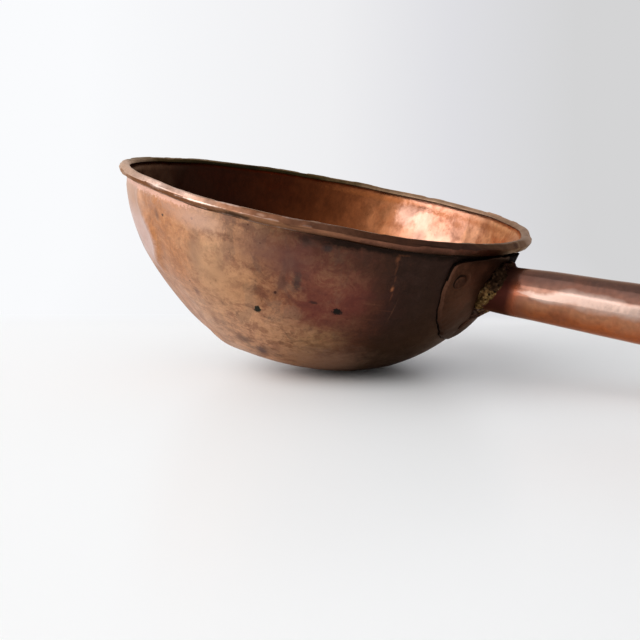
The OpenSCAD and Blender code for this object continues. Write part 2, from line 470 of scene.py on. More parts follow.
def patches(colour, turn, drop, spots, ragged, torn):
    """Lays spots over a colour: (turn, drop, half width, half height, hex, strength, softness) each."""
    tree = turn.id_data
    flat = add(tree, "Math", (turn, DEGREE), operation="MULTIPLY")
    flat = add(tree, "CombineXYZ", (flat, drop))
    for spot_turn, spot_drop, wide, high, code, strength, soft in spots:
        spot = add(tree, "Mapping", {
            "Vector": flat, "Location": (-spot_turn * DEGREE / wide, -spot_drop / high, 0),
            "Scale": (1 / wide, 1 / high, 1)})
        off = add(tree, "VectorMath", (spot,), "Value", operation="LENGTH")
        off = pushed(off, torn if min(wide, high) < 4 else ragged, 2.2)
        amount = add(tree, "MapRange", (off, 1 + soft, 1 - soft, 0.0, strength), interpolation_type="SMOOTHSTEP")
        colour = laid(colour, code, amount)
    return colour


def rubbed_in(height):
    """A noise, only where the mesh says that the metal is rubbed."""
    rubbed = add(height.id_data, "Attribute", out="Fac", attribute_name="rubbed")
    return add(height.id_data, "Math", (height, rubbed), operation="MULTIPLY")


def bumps(*layers):
    """Chains bumps: (height, millimetres) each."""
    chained = {}
    for height, size in layers:
        into = {"Height": height, "Distance": size * MM, "Strength": 1.0, **chained}
        chained = {"Normal": add(height.id_data, "Bump", into)}
    return chained["Normal"]


print("patch helpers ready")

# %% [markdown]
# Copper is a metal, so Metallic is 1 or close to it and the base colour is the colour of its reflection. An oxide
# skin makes it darker and duller, and a little less metallic. Roughness runs from about 0.26 where it is rubbed to
# 0.52 on soot. The bump is only for what is finer than the mesh: scratches, pits and the skin's edges.

# %% Zones and spots of the outside of the bowl
CREASE_DROP, CREASE_REACH, CREASE_BULGE = 35.0, 13.0, 5.2  # millimetres, millimetres and degrees
HIGH_ZONES = (
    (-180, "8e6046"), (-148, "9a6a4a"), (-132, "orange"), (-108, "orange"), (-90, "tan"), (-77, "brown"), (-65, "wine"),
    (-50, "wine"), (-42, "umber"), (-35, "soot"), (25, "soot"), (50, "umber"), (85, "74503c"), (180, "8e6046"))
LOW_ZONES = (
    (-180, "86604a"), (-145, "9a6a4a"), (-118, "orange"), (-98, "tan"), (-72, "tan"), (-56, "olive"), (-43, "umber"),
    (-33, "2e1c14"), (25, "soot"), (60, "umber"), (100, "70503e"), (180, "86604a"))
OUTSIDE_SPOTS = (
    # smudges of the burnt side; the wide first one, just under the rim, is painted shade
    (-58, 12, 34, 10, "33241b", 0.5, 0.8), (-45, 14, 14, 16, "2b1d17", 0.5, 0.7),
    (-56, 50, 18, 12, "6a2e2c", 0.35, 0.9), (-42, 48, 16, 18, "45211e", 0.35, 0.9),
    (-47, 40, 7, 9, "6b2f2c", 0.35, 0.9), (-66, 20, 14, 9, "6d4038", 0.5, 0.9),
    (-63.8, 33.5, 2.4, 5.6, "3a3230", 0.75, 0.6), (-66, 24, 6, 5, "4c3a36", 0.4, 0.8),
    (-57.5, 10, 2.6, 2.2, "2f2c2c", 0.7, 0.6), (-63, 9, 3, 3, "3a302c", 0.5, 0.7),
    (-58.5, 45, 2.5, 1.0, "352522", 0.8, 0.5), (-68, 38, 3, 3, "5f3f38", 0.5, 0.8),
    # smudges of the middle and of the bottom
    (-95, 34, 3, 7, "7f5d50", 0.5, 0.9), (-86, 34, 4, 8, "84604f", 0.45, 0.9), (-90, 42, 7, 5, "80604f", 0.35, 0.9),
    (-70, 22, 16, 10, "6d4a42", 0.4, 0.9), (-76, 16, 9, 7, "76544a", 0.4, 0.9),
    (-77.4, 90, 4.6, 2.8, "4c3a40", 0.75, 0.6), (-84, 84, 9, 2.6, "5f463a", 0.5, 0.8),
    (-95, 74, 4, 3, "7a4b34", 0.5, 0.8), (-70, 84, 4, 3, "6a3a33", 0.5, 0.8), (-98, 58, 2.5, 2.5, "6b4a45", 0.5, 0.8),
    # pits
    (-110, 16, 2, 3, "4e3b39", 0.5, 0.8), (-107, 15, 0.9, 0.9, "2c201c", 0.9, 0.4),
    (-95, 11, 0.8, 0.8, "4b3330", 0.8, 0.4), (-88, 45, 0.7, 0.7, "3f2620", 0.9, 0.4),
    (-100, 52, 0.6, 0.6, "3f2620", 0.9, 0.4), (-69.5, 43, 0.9, 0.9, "3a221e", 0.9, 0.4),
    # bright and rubbed places
    (-117, 4.2, 12, 1.0, "dca184", 0.55, 0.7), (-104, 4.9, 10, 1.3, "dca184", 0.6, 0.7),
    (-98, 10, 16, 5, "c9a18c", 0.4, 0.9), (-92, 12, 12, 5, "b9978a", 0.45, 0.9), (-94, 30, 4, 8, "8f6a58", 0.5, 0.8),
    (-84, 27, 4, 7, "8f6a58", 0.4, 0.8), (-90, 40, 12, 20, "c59a72", 0.4, 0.9), (-84, 46, 16, 13, "c4956e", 0.5, 0.9),
    (-46, 93, 36, 12, "9c7a66", 0.8, 0.9), (-26, 92, 12, 10, "3c281d", 0.6, 0.9),
    # the long scratch and the lines beside it
    (-38.3, 7.6, 2.6, 0.6, "8f593c", 0.5, 1.0), (-39.6, 10.0, 1.0, 2.2, "845036", 0.5, 1.0),
    (-39.2, 17, 0.5, 3.0, "744630", 0.3, 1.0), (-38.6, 23, 0.5, 1.6, "7c4a32", 0.3, 1.0),
    (-38.4, 29, 0.8, 1.4, "b4704a", 0.65, 1.0), (-37.8, 34, 0.4, 2.6, "7c4a32", 0.35, 1.0),
    (-35.5, 44, 0.35, 6, "7d5640", 0.3, 0.9), (-42.5, 40.5, 4.5, 0.45, "7d5640", 0.22, 1.0),
    (-37.5, 44, 4, 0.4, "6a4030", 0.3, 0.8), (-41, 51, 4, 0.4, "6a3f2e", 0.3, 0.8),
    # the two dark spots
    (-74.9, 57, 2.3, 2.1, "24261f", 1.0, 0.2), (-51.4, 48.5, 3.3, 1.9, "1b1816", 1.0, 0.2))
print("outside has", len(OUTSIDE_SPOTS), "spots")


# %% Copper of the outside of the bowl
def outside_copper(tree):
    """Old raised copper, never lacquered: rubbed orange at the left, flame-browned towards the handle.

    A reflection, a highlight and shade under the rim are painted into its colour.
    """
    place = pan_place(tree)
    turn, drop = turn_and_drop(place)
    broad = grain(place, 34, 4, (1, 1, 1.4))
    smudge = grain(place, 14, 5, (1, 1, 1.7), 0.62, 0.5)
    blots = grain(place, 11, 7, (1.2, 1.2, 1), 0.72, 0.8)
    clouds = grain(place, 7, 6, (1.3, 1.3, 1), 0.68, 0.3)
    fine = grain(place, 3.6, 7, (1, 1, 1.3), 0.7)
    grit = grain(place, 1.3, 5, (1, 1, 1.2), 0.62)
    lines = grain(place, 1.1, 2, (40, 40, 0.7), 0.5)
    ragged, torn = centred(clouds), centred(grit)
    from_left = turned_from(turn, -140)

    high, low = (zones(turn, table, ((broad, 22.0), (fine, 8.0))) for table in (HIGH_ZONES, LOW_ZONES))
    colour = laid(high, low, fade(pushed(drop, smudge, 50.0), 73.0, 92.0))
    half_burnt = fade(turn, -104.0, -84.0, fade(turn, -40.0, -56.0, 0.4))
    colour = tinted(
        colour,
        (blots, 0.52, 0.58, "5f3f35", fade(turn, -100.0, -72.0, fade(turn, -36.0, -54.0, 0.36))),
        (blots, 0.5, 0.58, "43302a", fade(from_left, 84.0, 102.0, 0.3)),
        (blots, 0.48, 0.4, "c0936b", fade(turned_from(turn, -105), 47.0, 29.0, 0.32)),
        (blots, 0.49, 0.42, "8a6248", fade(turn, -76.0, -66.0, fade(turn, -40.0, -56.0, 0.5))),
        (clouds, 0.51, 0.58, "6b3a32", half_burnt),
        (smudge, 0.53, 0.6, "5e4a40", half_burnt),
        (clouds, 0.5, 0.6, "a9785e", fade(from_left, 56.0, 36.0, 0.35)))
    colour = toned(colour, (blots, 1.14, 0.86), (clouds, 1.12, 0.88), (fine, 1.1, 0.9), (grit, 1.13, 0.88))
    worn = fade(drop, 15.0, 5.0, fade(turn, -80.0, -98.0, fade(turn, -176.0, -140.0, 0.35)))
    pits = add(tree, "TexVoronoi", {"Vector": place, "Scale": 1 / (7 * MM)}, out=None)
    pit_size = fade(add(tree, "SeparateColor", (pits.outputs["Color"],)), 0.45, 1.0, 0.1)
    pitted = add(tree, "Math", (pits.outputs["Distance"], pit_size), operation="LESS_THAN")
    colour = tinted(
        colour,
        (clouds, 0.46, 0.56, "d4b3a2", worn),
        (lines, 0.56, 0.66, "3a2119", fade(drop, 46.0, 62.0, 0.24)),
        (pitted, 0.0, 1.0, "33201a", 0.6))
    colour = patches(colour, turn, drop, OUTSIDE_SPOTS, ragged, torn)

    # Painted reflection: the pale band down the left edge is the bright room reflected there, tan near the top and
    # pinker beside the crease. The grey spot left of it is painted shade.
    painted_reflection_top = fade(drop, 34.0, 20.0, fade(turn, -172.0, -150.0, 0.6))
    off = add(tree, "Math", (drop, 1 / CREASE_REACH, -CREASE_DROP / CREASE_REACH), operation="MULTIPLY_ADD")
    off = add(tree, "Math", (off, off), operation="MULTIPLY")
    bulge = add(tree, "Math", (math.exp(-1), off), operation="POWER")
    beside_crease = pushed(pushed(turn, bulge, -CREASE_BULGE), fine, 3.0)
    painted_reflection_band = fade(turn, -172.0, -150.0, fade(blots, 0.3, 0.65, 0.6, 0.95))
    painted_reflection_band = fade(drop, 58.0, 46.0, fade(drop, 14.0, 26.0, painted_reflection_band))
    colour = tinted(
        colour,
        (pushed(turn, fine, 9.0), -109.5, -117.0, "c9a894", painted_reflection_top),
        (beside_crease, -117.4, -119.6, "d8bcb4", painted_reflection_band))
    colour = patches(colour, turn, drop, ((-131, 43, 4, 7, "8f746c", 0.6, 0.8),), ragged, torn)
    # Painted highlight: a bright jagged line just under the rim at the left.
    painted_highlight_strip = pushed(pushed(drop, torn, 9.0), ragged, 8.0)
    colour = tinted(
        colour,
        (painted_highlight_strip, 5.4, 4.6, "e2b29e", fade(turn, -146.0, -134.0, fade(turn, -88.0, -98.0, 0.75))),
        (drop, 98.0, 110.0, "835f51", 0.9),
        # painted shade: black just under the roll, from the front round past the handle to the back
        (pushed(drop, clouds, 9.0), 14.0, 11.0, "black", fade(turn, -76.0, -56.0, fade(turn, 175.0, 150.0, 0.92))))
    return add(tree, "BsdfPrincipled", {
        "Base Color": colour, "Roughness": fade(clouds, 0.3, 0.7, 0.52, 0.36), "Metallic": 0.85,
        "Specular IOR Level": 0.2, "Specular Tint": tinted("ffffff", (from_left, 40.0, 76.0, "e8c8b2", 1.0)),
        "Coat Weight": 0.05, "Coat Roughness": 0.3, "Normal": bumps((fine, 0.25), (lines, 0.03))})


outside_metal = new_material("old copper, outside", outside_copper)

# %% Copper of the rolled rim
# Colours of the bead's upper and lower flats. Where the upper flats are much paler than the lower ones, at the left and
# at the back, that is painted light from above.
RIM_TOP_ZONES = (
    (-180, "2e2819"), (-166, "2e271b"), (-153, "352c20"), (-147, "5c4c3e"), (-141, "b8a294"), (-122, "c4a899"),
    (-108, "bc9e90"), (-94, "a58270"), (-84, "9a7058"), (-75, "7f543d"), (-60, "664332"), (-46, "523426"),
    (-30, "4a3229"), (-14, "402c26"), (4, "55403a"), (18, "9c857a"), (40, "9c8070"), (60, "c0997e"), (88, "b08c70"),
    (106, "8c7054"), (117, "6e583c"), (130, "43381f"), (150, "2f291a"), (172, "2c2617"), (180, "2e2819"))
RIM_SIDE_ZONES = (
    (-180, "6a4c3a"), (-150, "a08068"), (-132, "977056"), (-121, "784c36"), (-106, "6c442f"), (-94, "7c5238"),
    (-82, "8c6248"), (-68, "94674a"), (-52, "8a5c46"), (-40, "7a5040"), (-28, "684436"), (-14, "4c3026"),
    (5, "3e2820"), (40, "4a3020"), (180, "6a4c3a"))
# The dark spot at turn -80.5 is painted shade in a hollow where the roll stands open, and the pale ones at -91 and -106
# are painted highlights on the bead's upper flats.
RIM_SPOTS = (
    (-80.5, 1.2, 7.5, 1.3, "30241b", 0.85, 0.5), (-79, -0.2, 3.0, 0.5, "7a5a44", 0.6, 0.6),
    (-66, 0.2, 9, 0.5, "4a3024", 0.6, 0.7), (-50, 0.0, 12, 0.45, "38231a", 0.6, 0.7),
    (-33, -0.4, 10, 0.4, "2c1a12", 0.6, 0.7), (-74, -2.0, 2.2, 0.6, "b8947e", 0.45, 0.8),
    (-97, 2.6, 11, 0.6, "5f3c2a", 0.6, 0.7), (-116, 3.0, 11, 0.6, "5f3c2a", 0.6, 0.7),
    (-91, -0.8, 13, 0.4, "ecdcd0", 0.55, 0.6), (-106, -2.4, 6, 1.2, "dcc8c0", 0.4, 0.9))


def rim_copper(tree):
    """Hammered copper over the rim's wire, bright on its ridges.

    Painted highlights lie on its upper flats, and painted shade in a hollow and underneath.
    """
    place = pan_place(tree)
    turn, drop = turn_and_drop(place)
    blotch = grain(place, 10, 5, (1, 1, 1), 0.6)
    fine = grain(place, 2.4, 5)
    torn = centred(fine)
    upper, lower = (zones(turn, table, ((blotch, 26.0),)) for table in (RIM_TOP_ZONES, RIM_SIDE_ZONES))
    below = add(tree, "Attribute", out="Fac", attribute_name="below")
    colour = laid(upper, lower, fade(pushed(below, torn, 0.9), 0.35, 0.65))
    reach = add(tree, "VectorMath", (place, (1.0, 1.0, 0.0)), operation="MULTIPLY")
    reach = add(tree, "VectorMath", (reach,), "Value", operation="LENGTH")
    outwards = add(tree, "Math", (reach, rim_centre[0] * MM), operation="SUBTRACT")
    upwards = add(tree, "Math", (drop, -MM), operation="MULTIPLY")
    facing = fade(add(tree, "Math", (upwards, outwards), operation="ARCTAN2"), -1.6, 2.4)
    # Painted shade: the bead's colour is darkened where it faces down, and a little where it faces inwards.
    shade = ramp_of(facing, ((0.1, "5a5a5a"), (0.28, "d8d8d8"), (0.4, "ffffff"), (0.78, "ffffff"), (0.95, "c8c8c8")))
    colour = add(tree, "VectorMath", (colour, shade), operation="MULTIPLY")
    colour = toned(colour, (blotch, 1.15, 0.85), (fine, 1.15, 0.85))
    colour = patches(colour, turn, drop, RIM_SPOTS, torn, torn)
    bare = fade(turned_from(turn, -110), 58.0, 26.0, 0.6)
    return add(tree, "BsdfPrincipled", {
        "Base Color": tinted(colour, (rubbed_in(fine), 0.2, 0.6, "cfb6aa", bare)),
        "Roughness": fade(blotch, 0.3, 0.7, 0.42, 0.26), "Metallic": 0.92, "Specular IOR Level": 0.2,
        "Specular Tint": linear("f4d8c0"), "Normal": bumps((blotch, 0.2), (fine, 0.06))})


rim_metal = new_material("old copper, rolled rim", rim_copper)

# %% Copper of the inside of the bowl
# The pale pinks near turns 68 to 92 carry a painted highlight of the window, and the dark turns from about 110 round to
# -120 are painted shade.
INSIDE_ZONES = (
    (-180, "2c150c"), (-120, "5a3320"), (-60, "955c38"), (0, "c88256"), (36, "d69868"), (52, "cc8e62"), (68, "c48c72"),
    (84, "c88f78"), (92, "b47a5c"), (98, "8c5838"), (109, "784224"), (122, "5c2d14"), (137, "431c0a"),
    (156, "301409"), (180, "2c150c"))
# The three wide spots just under the rim are painted shade below the roll, and the pale ones at turns 72 to 91 are
# painted highlights of the window.
INSIDE_SPOTS = (
    (96, 4, 40, 2.0, "9c5a2e", 0.45, 0.7), (60, 4, 30, 2.2, "a05a2c", 0.45, 0.8), (30, 3, 34, 2.2, "a05628", 0.5, 0.8),
    (91, 13, 8, 7, "e0b09c", 0.7, 0.8), (84, 15, 6, 8, "e2b29e", 0.6, 0.8), (76, 24, 12, 7, "deac96", 0.6, 0.9),
    (72, 32, 9, 6, "dcaa94", 0.5, 0.9), (84, 27, 5, 5, "9c7a6a", 0.6, 0.8), (78, 6, 8, 1.6, "8a4c24", 0.7, 0.8),
    (70, 10, 5, 2.4, "8f4f26", 0.6, 0.8), (64, 16, 4, 6, "b9825c", 0.5, 0.8), (97, 15, 3, 9, "9a5f3c", 0.5, 0.8),
    (104, 22, 3, 12, "a86a44", 0.4, 0.9))


def inside_copper(tree):
    """Copper of the inside, with painted highlights of the window on one side and painted shade on the other."""
    place = pan_place(tree)
    turn, drop = turn_and_drop(place)
    broad = grain(place, 45, 4)
    clouds = grain(place, 8, 5, (1, 1, 1.3), 0.62)
    fine = grain(place, 4, 6, (1, 1, 1.6), 0.65)
    grit = grain(place, 1.6, 4)
    colour = zones(turn, INSIDE_ZONES, ((broad, 24.0), (fine, 5.0)))
    cloudy = fade(turn, 116.0, 100.0, fade(turn, -100.0, -60.0, 0.4))
    colour = tinted(colour, (clouds, 0.52, 0.62, "8a4c2c", cloudy))
    colour = toned(colour, (broad, 1.12, 0.88), (fine, 1.2, 0.82))
    colour = patches(colour, turn, drop, INSIDE_SPOTS, centred(fine), centred(grit))
    return add(tree, "BsdfPrincipled", {
        "Base Color": tinted(colour, (drop, 78.0, 106.0, "9a6240", 1.0)),
        "Roughness": fade(clouds, 0.3, 0.7, 0.42, 0.26), "Metallic": 0.95, "Specular IOR Level": 0.25,
        "Specular Tint": linear("f0dccc"), "Coat Weight": 0.04, "Coat Roughness": 0.3,
        "Normal": bumps((clouds, 0.3), (fine, 0.1))})


inside_metal = new_material("old copper, inside", inside_copper)

# %% [markdown]
# The bowl is one sheet, so its mesh is one closed shell: outside, round the wire to the sheet's edge, back over the
# roll, and down the inside. Each point of the profile keeps its drop below the rim, the slope of the sheet there
# and its angle on the roll, so that a dent can later move both faces of the sheet together.

# %% Bowl profile
OUTSIDE, ROLL, INSIDE = 0, 1, 2  # numbers of the profile's parts
SHEET_STEP = 2.7


def arc(centre, radius, start, end, step):
    """Rows of an arc between two slopes: distance, height and slope, at most a step in millimetres apart."""
    count = max(1, math.ceil(abs(end - start) * math.pi / 180 * radius / step))
    return [(*(centre + radius * towards(s)), s) for s in np.linspace(start, end, count + 1)]


def sheet_rows(out, part):
    """Rows of the profile up one face of the sheet: distance, height, drop, slope, part."""
    rows = []
    for centre, radius, start, end in (
            (base_centre, base_r, 0, base_slope), (bend_centre, bend_r, base_slope, bend_slope),
            (side_centre, side_r, bend_slope, side_slope)):
        for _, z, slope in arc(centre, radius, start, end, SHEET_STEP)[1 if rows else 0:]:
            rows.append((*(centre + (radius + out) * towards(slope)), rim_centre[1] - z, slope, part))
    return rows


def roll_rows(radius, step):
    """Rows round the wire to the sheet's edge, whose drop is zero, with their angle on the roll."""
    sheet_edge = math.degrees(math.acos((seat_r - fit) / roll_r)) - 90
    return [(x, z, 0, side_slope, ROLL, s) for x, z, s in arc(rim_centre, radius, 180 + side_slope, sheet_edge, step)]


def profile_object(name, rows):
    """Loose points in the XZ plane. Each row is a distance, a height and the kept numbers, which end in zeros."""
    table = np.array([(*row, 0, 0, 0, 0)[:6] for row in rows], float)
    points = np.stack([table[:, 0], 0 * table[:, 0], table[:, 1]], -1)
    return mesh_object(name, points * MM, [], zip(KEPT, table[:, 2:].T))


bowl_rows = (sheet_rows(0, OUTSIDE) + roll_rows(seat_r, 1.4)
             + roll_rows(roll_r, 0.6)[::-1] + sheet_rows(-sheet_t, INSIDE)[::-1])
print("bowl profile has", len(bowl_rows), "points")

# %% Turn the bowl
bowl = profile_object("bowl_copper_sheet", bowl_rows)
run_tree(bowl, turned_tree(("Outside", "Rim", "Inside")),
         {"Columns": 480, "Outside": outside_metal, "Rim": rim_metal, "Inside": inside_metal})
print("bowl points", len(bowl.data.vertices))

# %% [markdown]
# Now the hammer. A raised bowl is planished in rows of blows that leave flats 15 to 20 mm wide, and years of use
# leave dents. Sculpting would do, but it can't be repeated, so each dent is a line of a table: where it is, how far
# it reaches and how deep it goes. The rim is wavy, and its bead has two rows of flats that meet in a ridge.

# %% Dents of the sheet
DENTS = (  # turn, drop, reach round, reach down, millimetres outwards
    (-134, 28, 30, 30, 2.4), (-118, 74, 34, 22, -3.4), (-107, 95, 16, 10, 1.4), (-88, 60, 30, 20, 0.7),
    (-60, 40, 26, 18, -0.6), (-35, 70, 24, 16, 0.9), (95, 45, 30, 22, 1.2), (140, 60, 28, 26, -1.6),
    (60, 66, 24, 22, -1.0), (172, 50, 26, 30, 1.2))
CREASE_TURN = -120.6
BLOW_APART = 17


def crease(turn, drop):
    """A sharp upright ridge that a knock has left at the left side, in millimetres outwards."""
    line = CREASE_TURN + CREASE_BULGE * bell(drop - CREASE_DROP, CREASE_REACH)
    off = away(turn, line) * DEGREE
    ends = between(drop, 3, 11) * between(drop, 60, 48)
    return ends * (1.7 - 0.3 * np.sqrt(off ** 2 + 0.7)) * bell(off, 9)


def pressed(turn, drop):
    """How far the wall is pressed in below the rim beside the plate, in millimetres, with the plate upon it."""
    return 5.0 * bell(away(turn, 28), 13) * bell(drop - 12, 13) * between(drop, 0, 7)


def sheet_push(turn, drop, points, inner):
    """How far the sheet is pushed outwards at a turn and a drop, in millimetres: little where the plate lies."""
    push = sum(deep * bell(away(turn, dent_turn) * DEGREE, wide) * bell(drop - dent_drop, high)
               for dent_turn, dent_drop, wide, high, deep in DENTS)
    blows = cells_at(points, BLOW_APART) ** 2 / (2 * WALL_R)
    push = push + crease(turn, drop) + np.where(inner, 1.3, 0.35) * blows + 0.35 * noise_at(points, 42) - 0.25
    clear_of_plate = np.clip(between(np.abs(turn), 22, 34) + between(drop, 62, 76), 0, 1)
    return push * clear_of_plate * between(drop, 112, 98) - pressed(turn, drop)


print("crease stands out by", round(float(crease(CREASE_TURN + CREASE_BULGE, CREASE_DROP)), 1), "mm")

# %% Waves and flats of the rim
RIM_RISE = ((-180, 0.3), (-160, 0.7), (-140, 1.8), (-125, 2.4), (-110, 2.2), (-100, 1.3), (-90, 0.5), (-80, 0.3),
            (-60, 0.4), (-45, -0.7), (-30, -1.0), (-12, -0.2), (10, 0.9), (30, 2.0), (50, 2.0), (75, 1.2),
            (90, 0.1), (110, -0.2), (150, 0.0), (180, 0.3))
BEAD_FLATS = (  # facing round the wire, share of the round radius, seed, millimetres apart, degrees of swing
    (128, 0.8, 11, 10, 12), (66, 0.82, 12, 11, 9), (188, 0.88, 13, 12, 14), (18, 0.88, 14, 8.5, 14))
BEAD_SIDE = 98  # angle round the wire where the bead's upper half ends


def waved(turn, table):
    """A smooth closed wave through (turn, amount) pairs."""
    turns, amounts = np.array(table).T
    fine = np.linspace(-180, 180, 721)
    wave = np.interp(fine, turns, amounts)
    kernel = np.hanning(25) / np.hanning(25).sum()
    wave = np.convolve(np.concatenate([wave[-13:-1], wave, wave[1:13]]), kernel, "valid")
    return np.interp(turn, fine, wave)


def beaten(turn, seed, cell, spread):
    """One number for each blow round the rim, steady over the flat and changing quickly between flats."""
    count = round(2 * math.pi * rim_centre[0] / cell)
    numbers = np.random.default_rng(seed).uniform(-spread, spread, count)
    where = (turn / 360 % 1) * count + 0.35 * np.sin(np.radians(turn) * 17) + 0.25 * np.sin(np.radians(turn) * 41)
    low = np.floor(where).astype(int)
    share = between(where - low, 0.3, 0.7)
    share = share * share * (3 - 2 * share)
    return numbers[low % count] * (1 - share) + numbers[(low + 1) % count] * share


def bead_scale(turn, bead):
    """The bead's radius at a turn and an angle round the wire, as a share of roll_r, and a mark on its lower flats."""
    slim = 0.45 * bell(away(turn, 5), 26)
    uneven = 0.05 + 0.05 * bell(away(turn, 15), 40)
    reach = roll_r - 0.05 - slim + beaten(turn, 5, 11, 0.14)
    below = (bead < BEAD_SIDE).astype(float)
    for facing, share, seed, cell, swing in BEAD_FLATS:
        across_flat = np.cos(np.radians(bead - facing - beaten(turn, seed, cell, swing)))
        flat = roll_r * (share + uneven * beaten(turn, seed + 20, cell, 1.0))
        flat = np.where(across_flat > 0.3, flat / np.maximum(across_flat, 0.3), np.inf)
        below = np.where(flat < reach, float(facing < BEAD_SIDE), below)
        reach = np.minimum(reach, flat)
    return 1 + (reach / roll_r - 1) * between(bead, 262, 222), below


def with_rim(points, turn, drop):
    """Moves points near the rim, of the sheet or of the wire in it, along with the rim's waves."""
    angle = np.radians(turn)
    out_by = -1.0 * bell(away(turn, 18), 16) + 2.3 * bell(away(turn, -140), 22) + 0.25 * np.sin(9 * angle)
    up_by = waved(turn, RIM_RISE) + 0.2 * np.sin(13 * angle + 1)
    return points + bell(drop, 26)[:, None] * (outward_at(turn) * out_by[:, None] + UP * up_by[:, None])


print("rim rises by", round(float(waved(-125, RIM_RISE)), 1), "mm at the left")


# %% Hammer the bowl
def hammered_bowl(piece):
    """The bowl's points in metres, hammered and leaned. Marks where the rim is rubbed and where it faces down."""
    points = points_of(piece)
    drop, slope, part, bead = (values_of(piece.data, name) for name in KEPT)
    turn = turn_of(points)
    slope = np.radians(slope)[:, None]
    normal = np.sin(slope) * outward_at(turn) - np.cos(slope) * UP
    from_wire = np.stack([np.hypot(points[:, 0], points[:, 1]), points[:, 2]], -1) - rim_centre
    on_roll = bead != 0
    outer_face = on_roll & (np.hypot(*from_wire.T) > roll_r - 0.3)
    scale, below = bead_scale(turn, bead)
    store(piece.data, "rubbed", between(np.where(outer_face, scale, 1.0), 0.87, 0.94))
    store(piece.data, "below", below)
    slim = 0.17 * bell(away(turn, -118), 50) * between(bead, 262, 222)
    scale = np.where(outer_face, scale * (1 - slim), 1.0)
    reach, height = (rim_centre + from_wire * scale[:, None]).T
    points = outward_at(turn) * reach[:, None] + UP * height[:, None]
    inner = part > (ROLL + INSIDE) / 2
    push = sheet_push(turn, drop, points + normal * np.where(inner, sheet_t, 0.0)[:, None], inner)
    push = np.where(on_roll, 0.0, push * between(drop, 0, 10))
    return leaned(with_rim(points + normal * push[:, None], turn, drop))


finish_piece(bowl, hammered_bowl(bowl))
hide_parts("bowl")
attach(bowl, "root")

# %% [markdown]
# The wire inside the rim and the one in the handle's lip are dull iron. They hardly show, but the rolls are round
# because of them, so they stay: a small circle is turned into a ring and moved with the wavy rim.

# %% Iron wires
def drawn_iron(tree):
    """Drawn iron wire with a thin brown rust: dull, grey and a little blotched."""
    fine = grain(pan_place(tree), 1.5, 4)
    return add(tree, "BsdfPrincipled", {
        "Base Color": ramp_of(fine, ((0.3, "2b2623"), (0.55, "4a3f38"), (0.75, "5d4030"))),
        "Metallic": 0.8, "Roughness": 0.6, "Normal": bumps((fine, 0.1))})


iron_metal = new_material("drawn iron wire", drawn_iron)


def ring(name, centre, diameter, columns):
    """A wire ring made by turning a small circle."""
    rows = [centre + diameter / 2 * np.array([math.cos(a), math.sin(a)]) for a in np.linspace(0, 2 * math.pi, 13)]
    return run_tree(profile_object(name, rows), turned_tree(("Wire",)), {"Columns": columns, "Wire": iron_metal})


rim_wire = ring("rim_iron_wire", rim_centre, wire_d, 240)
wire_points = points_of(rim_wire)
wire_turn = turn_of(wire_points)
finish_piece(rim_wire, leaned(with_rim(wire_points, wire_turn, 0 * wire_turn)))
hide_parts("rim_wire")
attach(rim_wire, "root")

# %% [markdown]
# The handle's plate is a flat shield bent to the bowl. It is one mesh of rings round a middle point: over the front,
# round its softened edge and back behind. Its corners are rounded by blending the two distances to its outline.

# %% Rivet places
def wall_frame(turn, z):
    """A point on the outside of the bowl at a turn and a height, and the direction outwards there."""
    slope = math.acos((side_centre[1] - z) / side_r)
    level = outward_at(turn)
    return float(side_x(z)) * level + z * UP, math.sin(slope) * level - math.cos(slope) * UP


side_rivet_z = rim_centre[1] - side_rivet_drop
half_width = math.sqrt(plate_r ** 2 - (side_rivet_drop - plate_drop) ** 2) - rivet_edge
side_turn = math.degrees(math.asin(half_width / float(side_x(side_rivet_z))))
lower_z = rim_centre[1] - plate_drop - plate_r + rivet_edge
rivet_frames = [wall_frame(-side_turn, side_rivet_z), wall_frame(side_turn, side_rivet_z), wall_frame(0, lower_z)]
print("side rivets turned by", round(side_turn, 1), "degrees")


# %% Copper of the plate
def plate_copper(tree):
    """Copper sheet with a dark brown skin of heat and grease, worn red-brown on its high spots.

    Shadows of the rivet heads and light beside the handle's root are painted into it.
    """
    place = pan_place(tree)
    turn, drop = turn_and_drop(place)
    blotch, fine = grain(place, 12, 5), grain(place, 2.5, 5)
    colour = ramp_of(blotch, ((0.3, "3c2418"), (0.45, "4a2e20"), (0.6, "523324"), (0.75, "5a3a29")))
    colour = toned(colour, (fine, 1.2, 0.75))
    shadow_shift = np.array([0, -0.5, 0.5])  # the dark ring sits to the upper left of each rivet: a painted shadow of its head
    for middle, outward in rivet_frames:
        rivet = far_from(place, middle + plate_out * outward + shadow_shift)
        colour = tinted(colour, (rivet, 0.0053, 0.0048, "140c09", 0.85))
    root = pushed(far_from(place, handle_start), blotch, 0.02)
    colour = tinted(
        colour,
        (rubbed_in(fine), 0.3, 0.6, "8a6250", 0.25),
        # painted light: paler within about 5 cm of the handle's root, which lifts the shade beside the collar
        (root, 0.052, 0.041, "6b4534", 0.38),
        (root, 0.036, 0.03, "1c100b", 0.4),
        (drop, 36.0, 60.0, "2e1910", 0.8),
        (pushed(drop, blotch, 6.0), 14.0, 10.0, "150d09", 0.7),
        (pushed(turn, blotch, 8.0), 5.0, 9.0, "0e0806", fade(drop, 24.0, 17.0, 0.95)))
    return add(tree, "BsdfPrincipled", {
        "Base Color": colour, "Roughness": fade(blotch, 0.3, 0.7, 0.55, 0.4), "Metallic": 0.88,
        "Specular IOR Level": 0.2, "Specular Tint": linear("e0d0c4"), "Normal": bumps((blotch, 0.4), (fine, 0.12))})


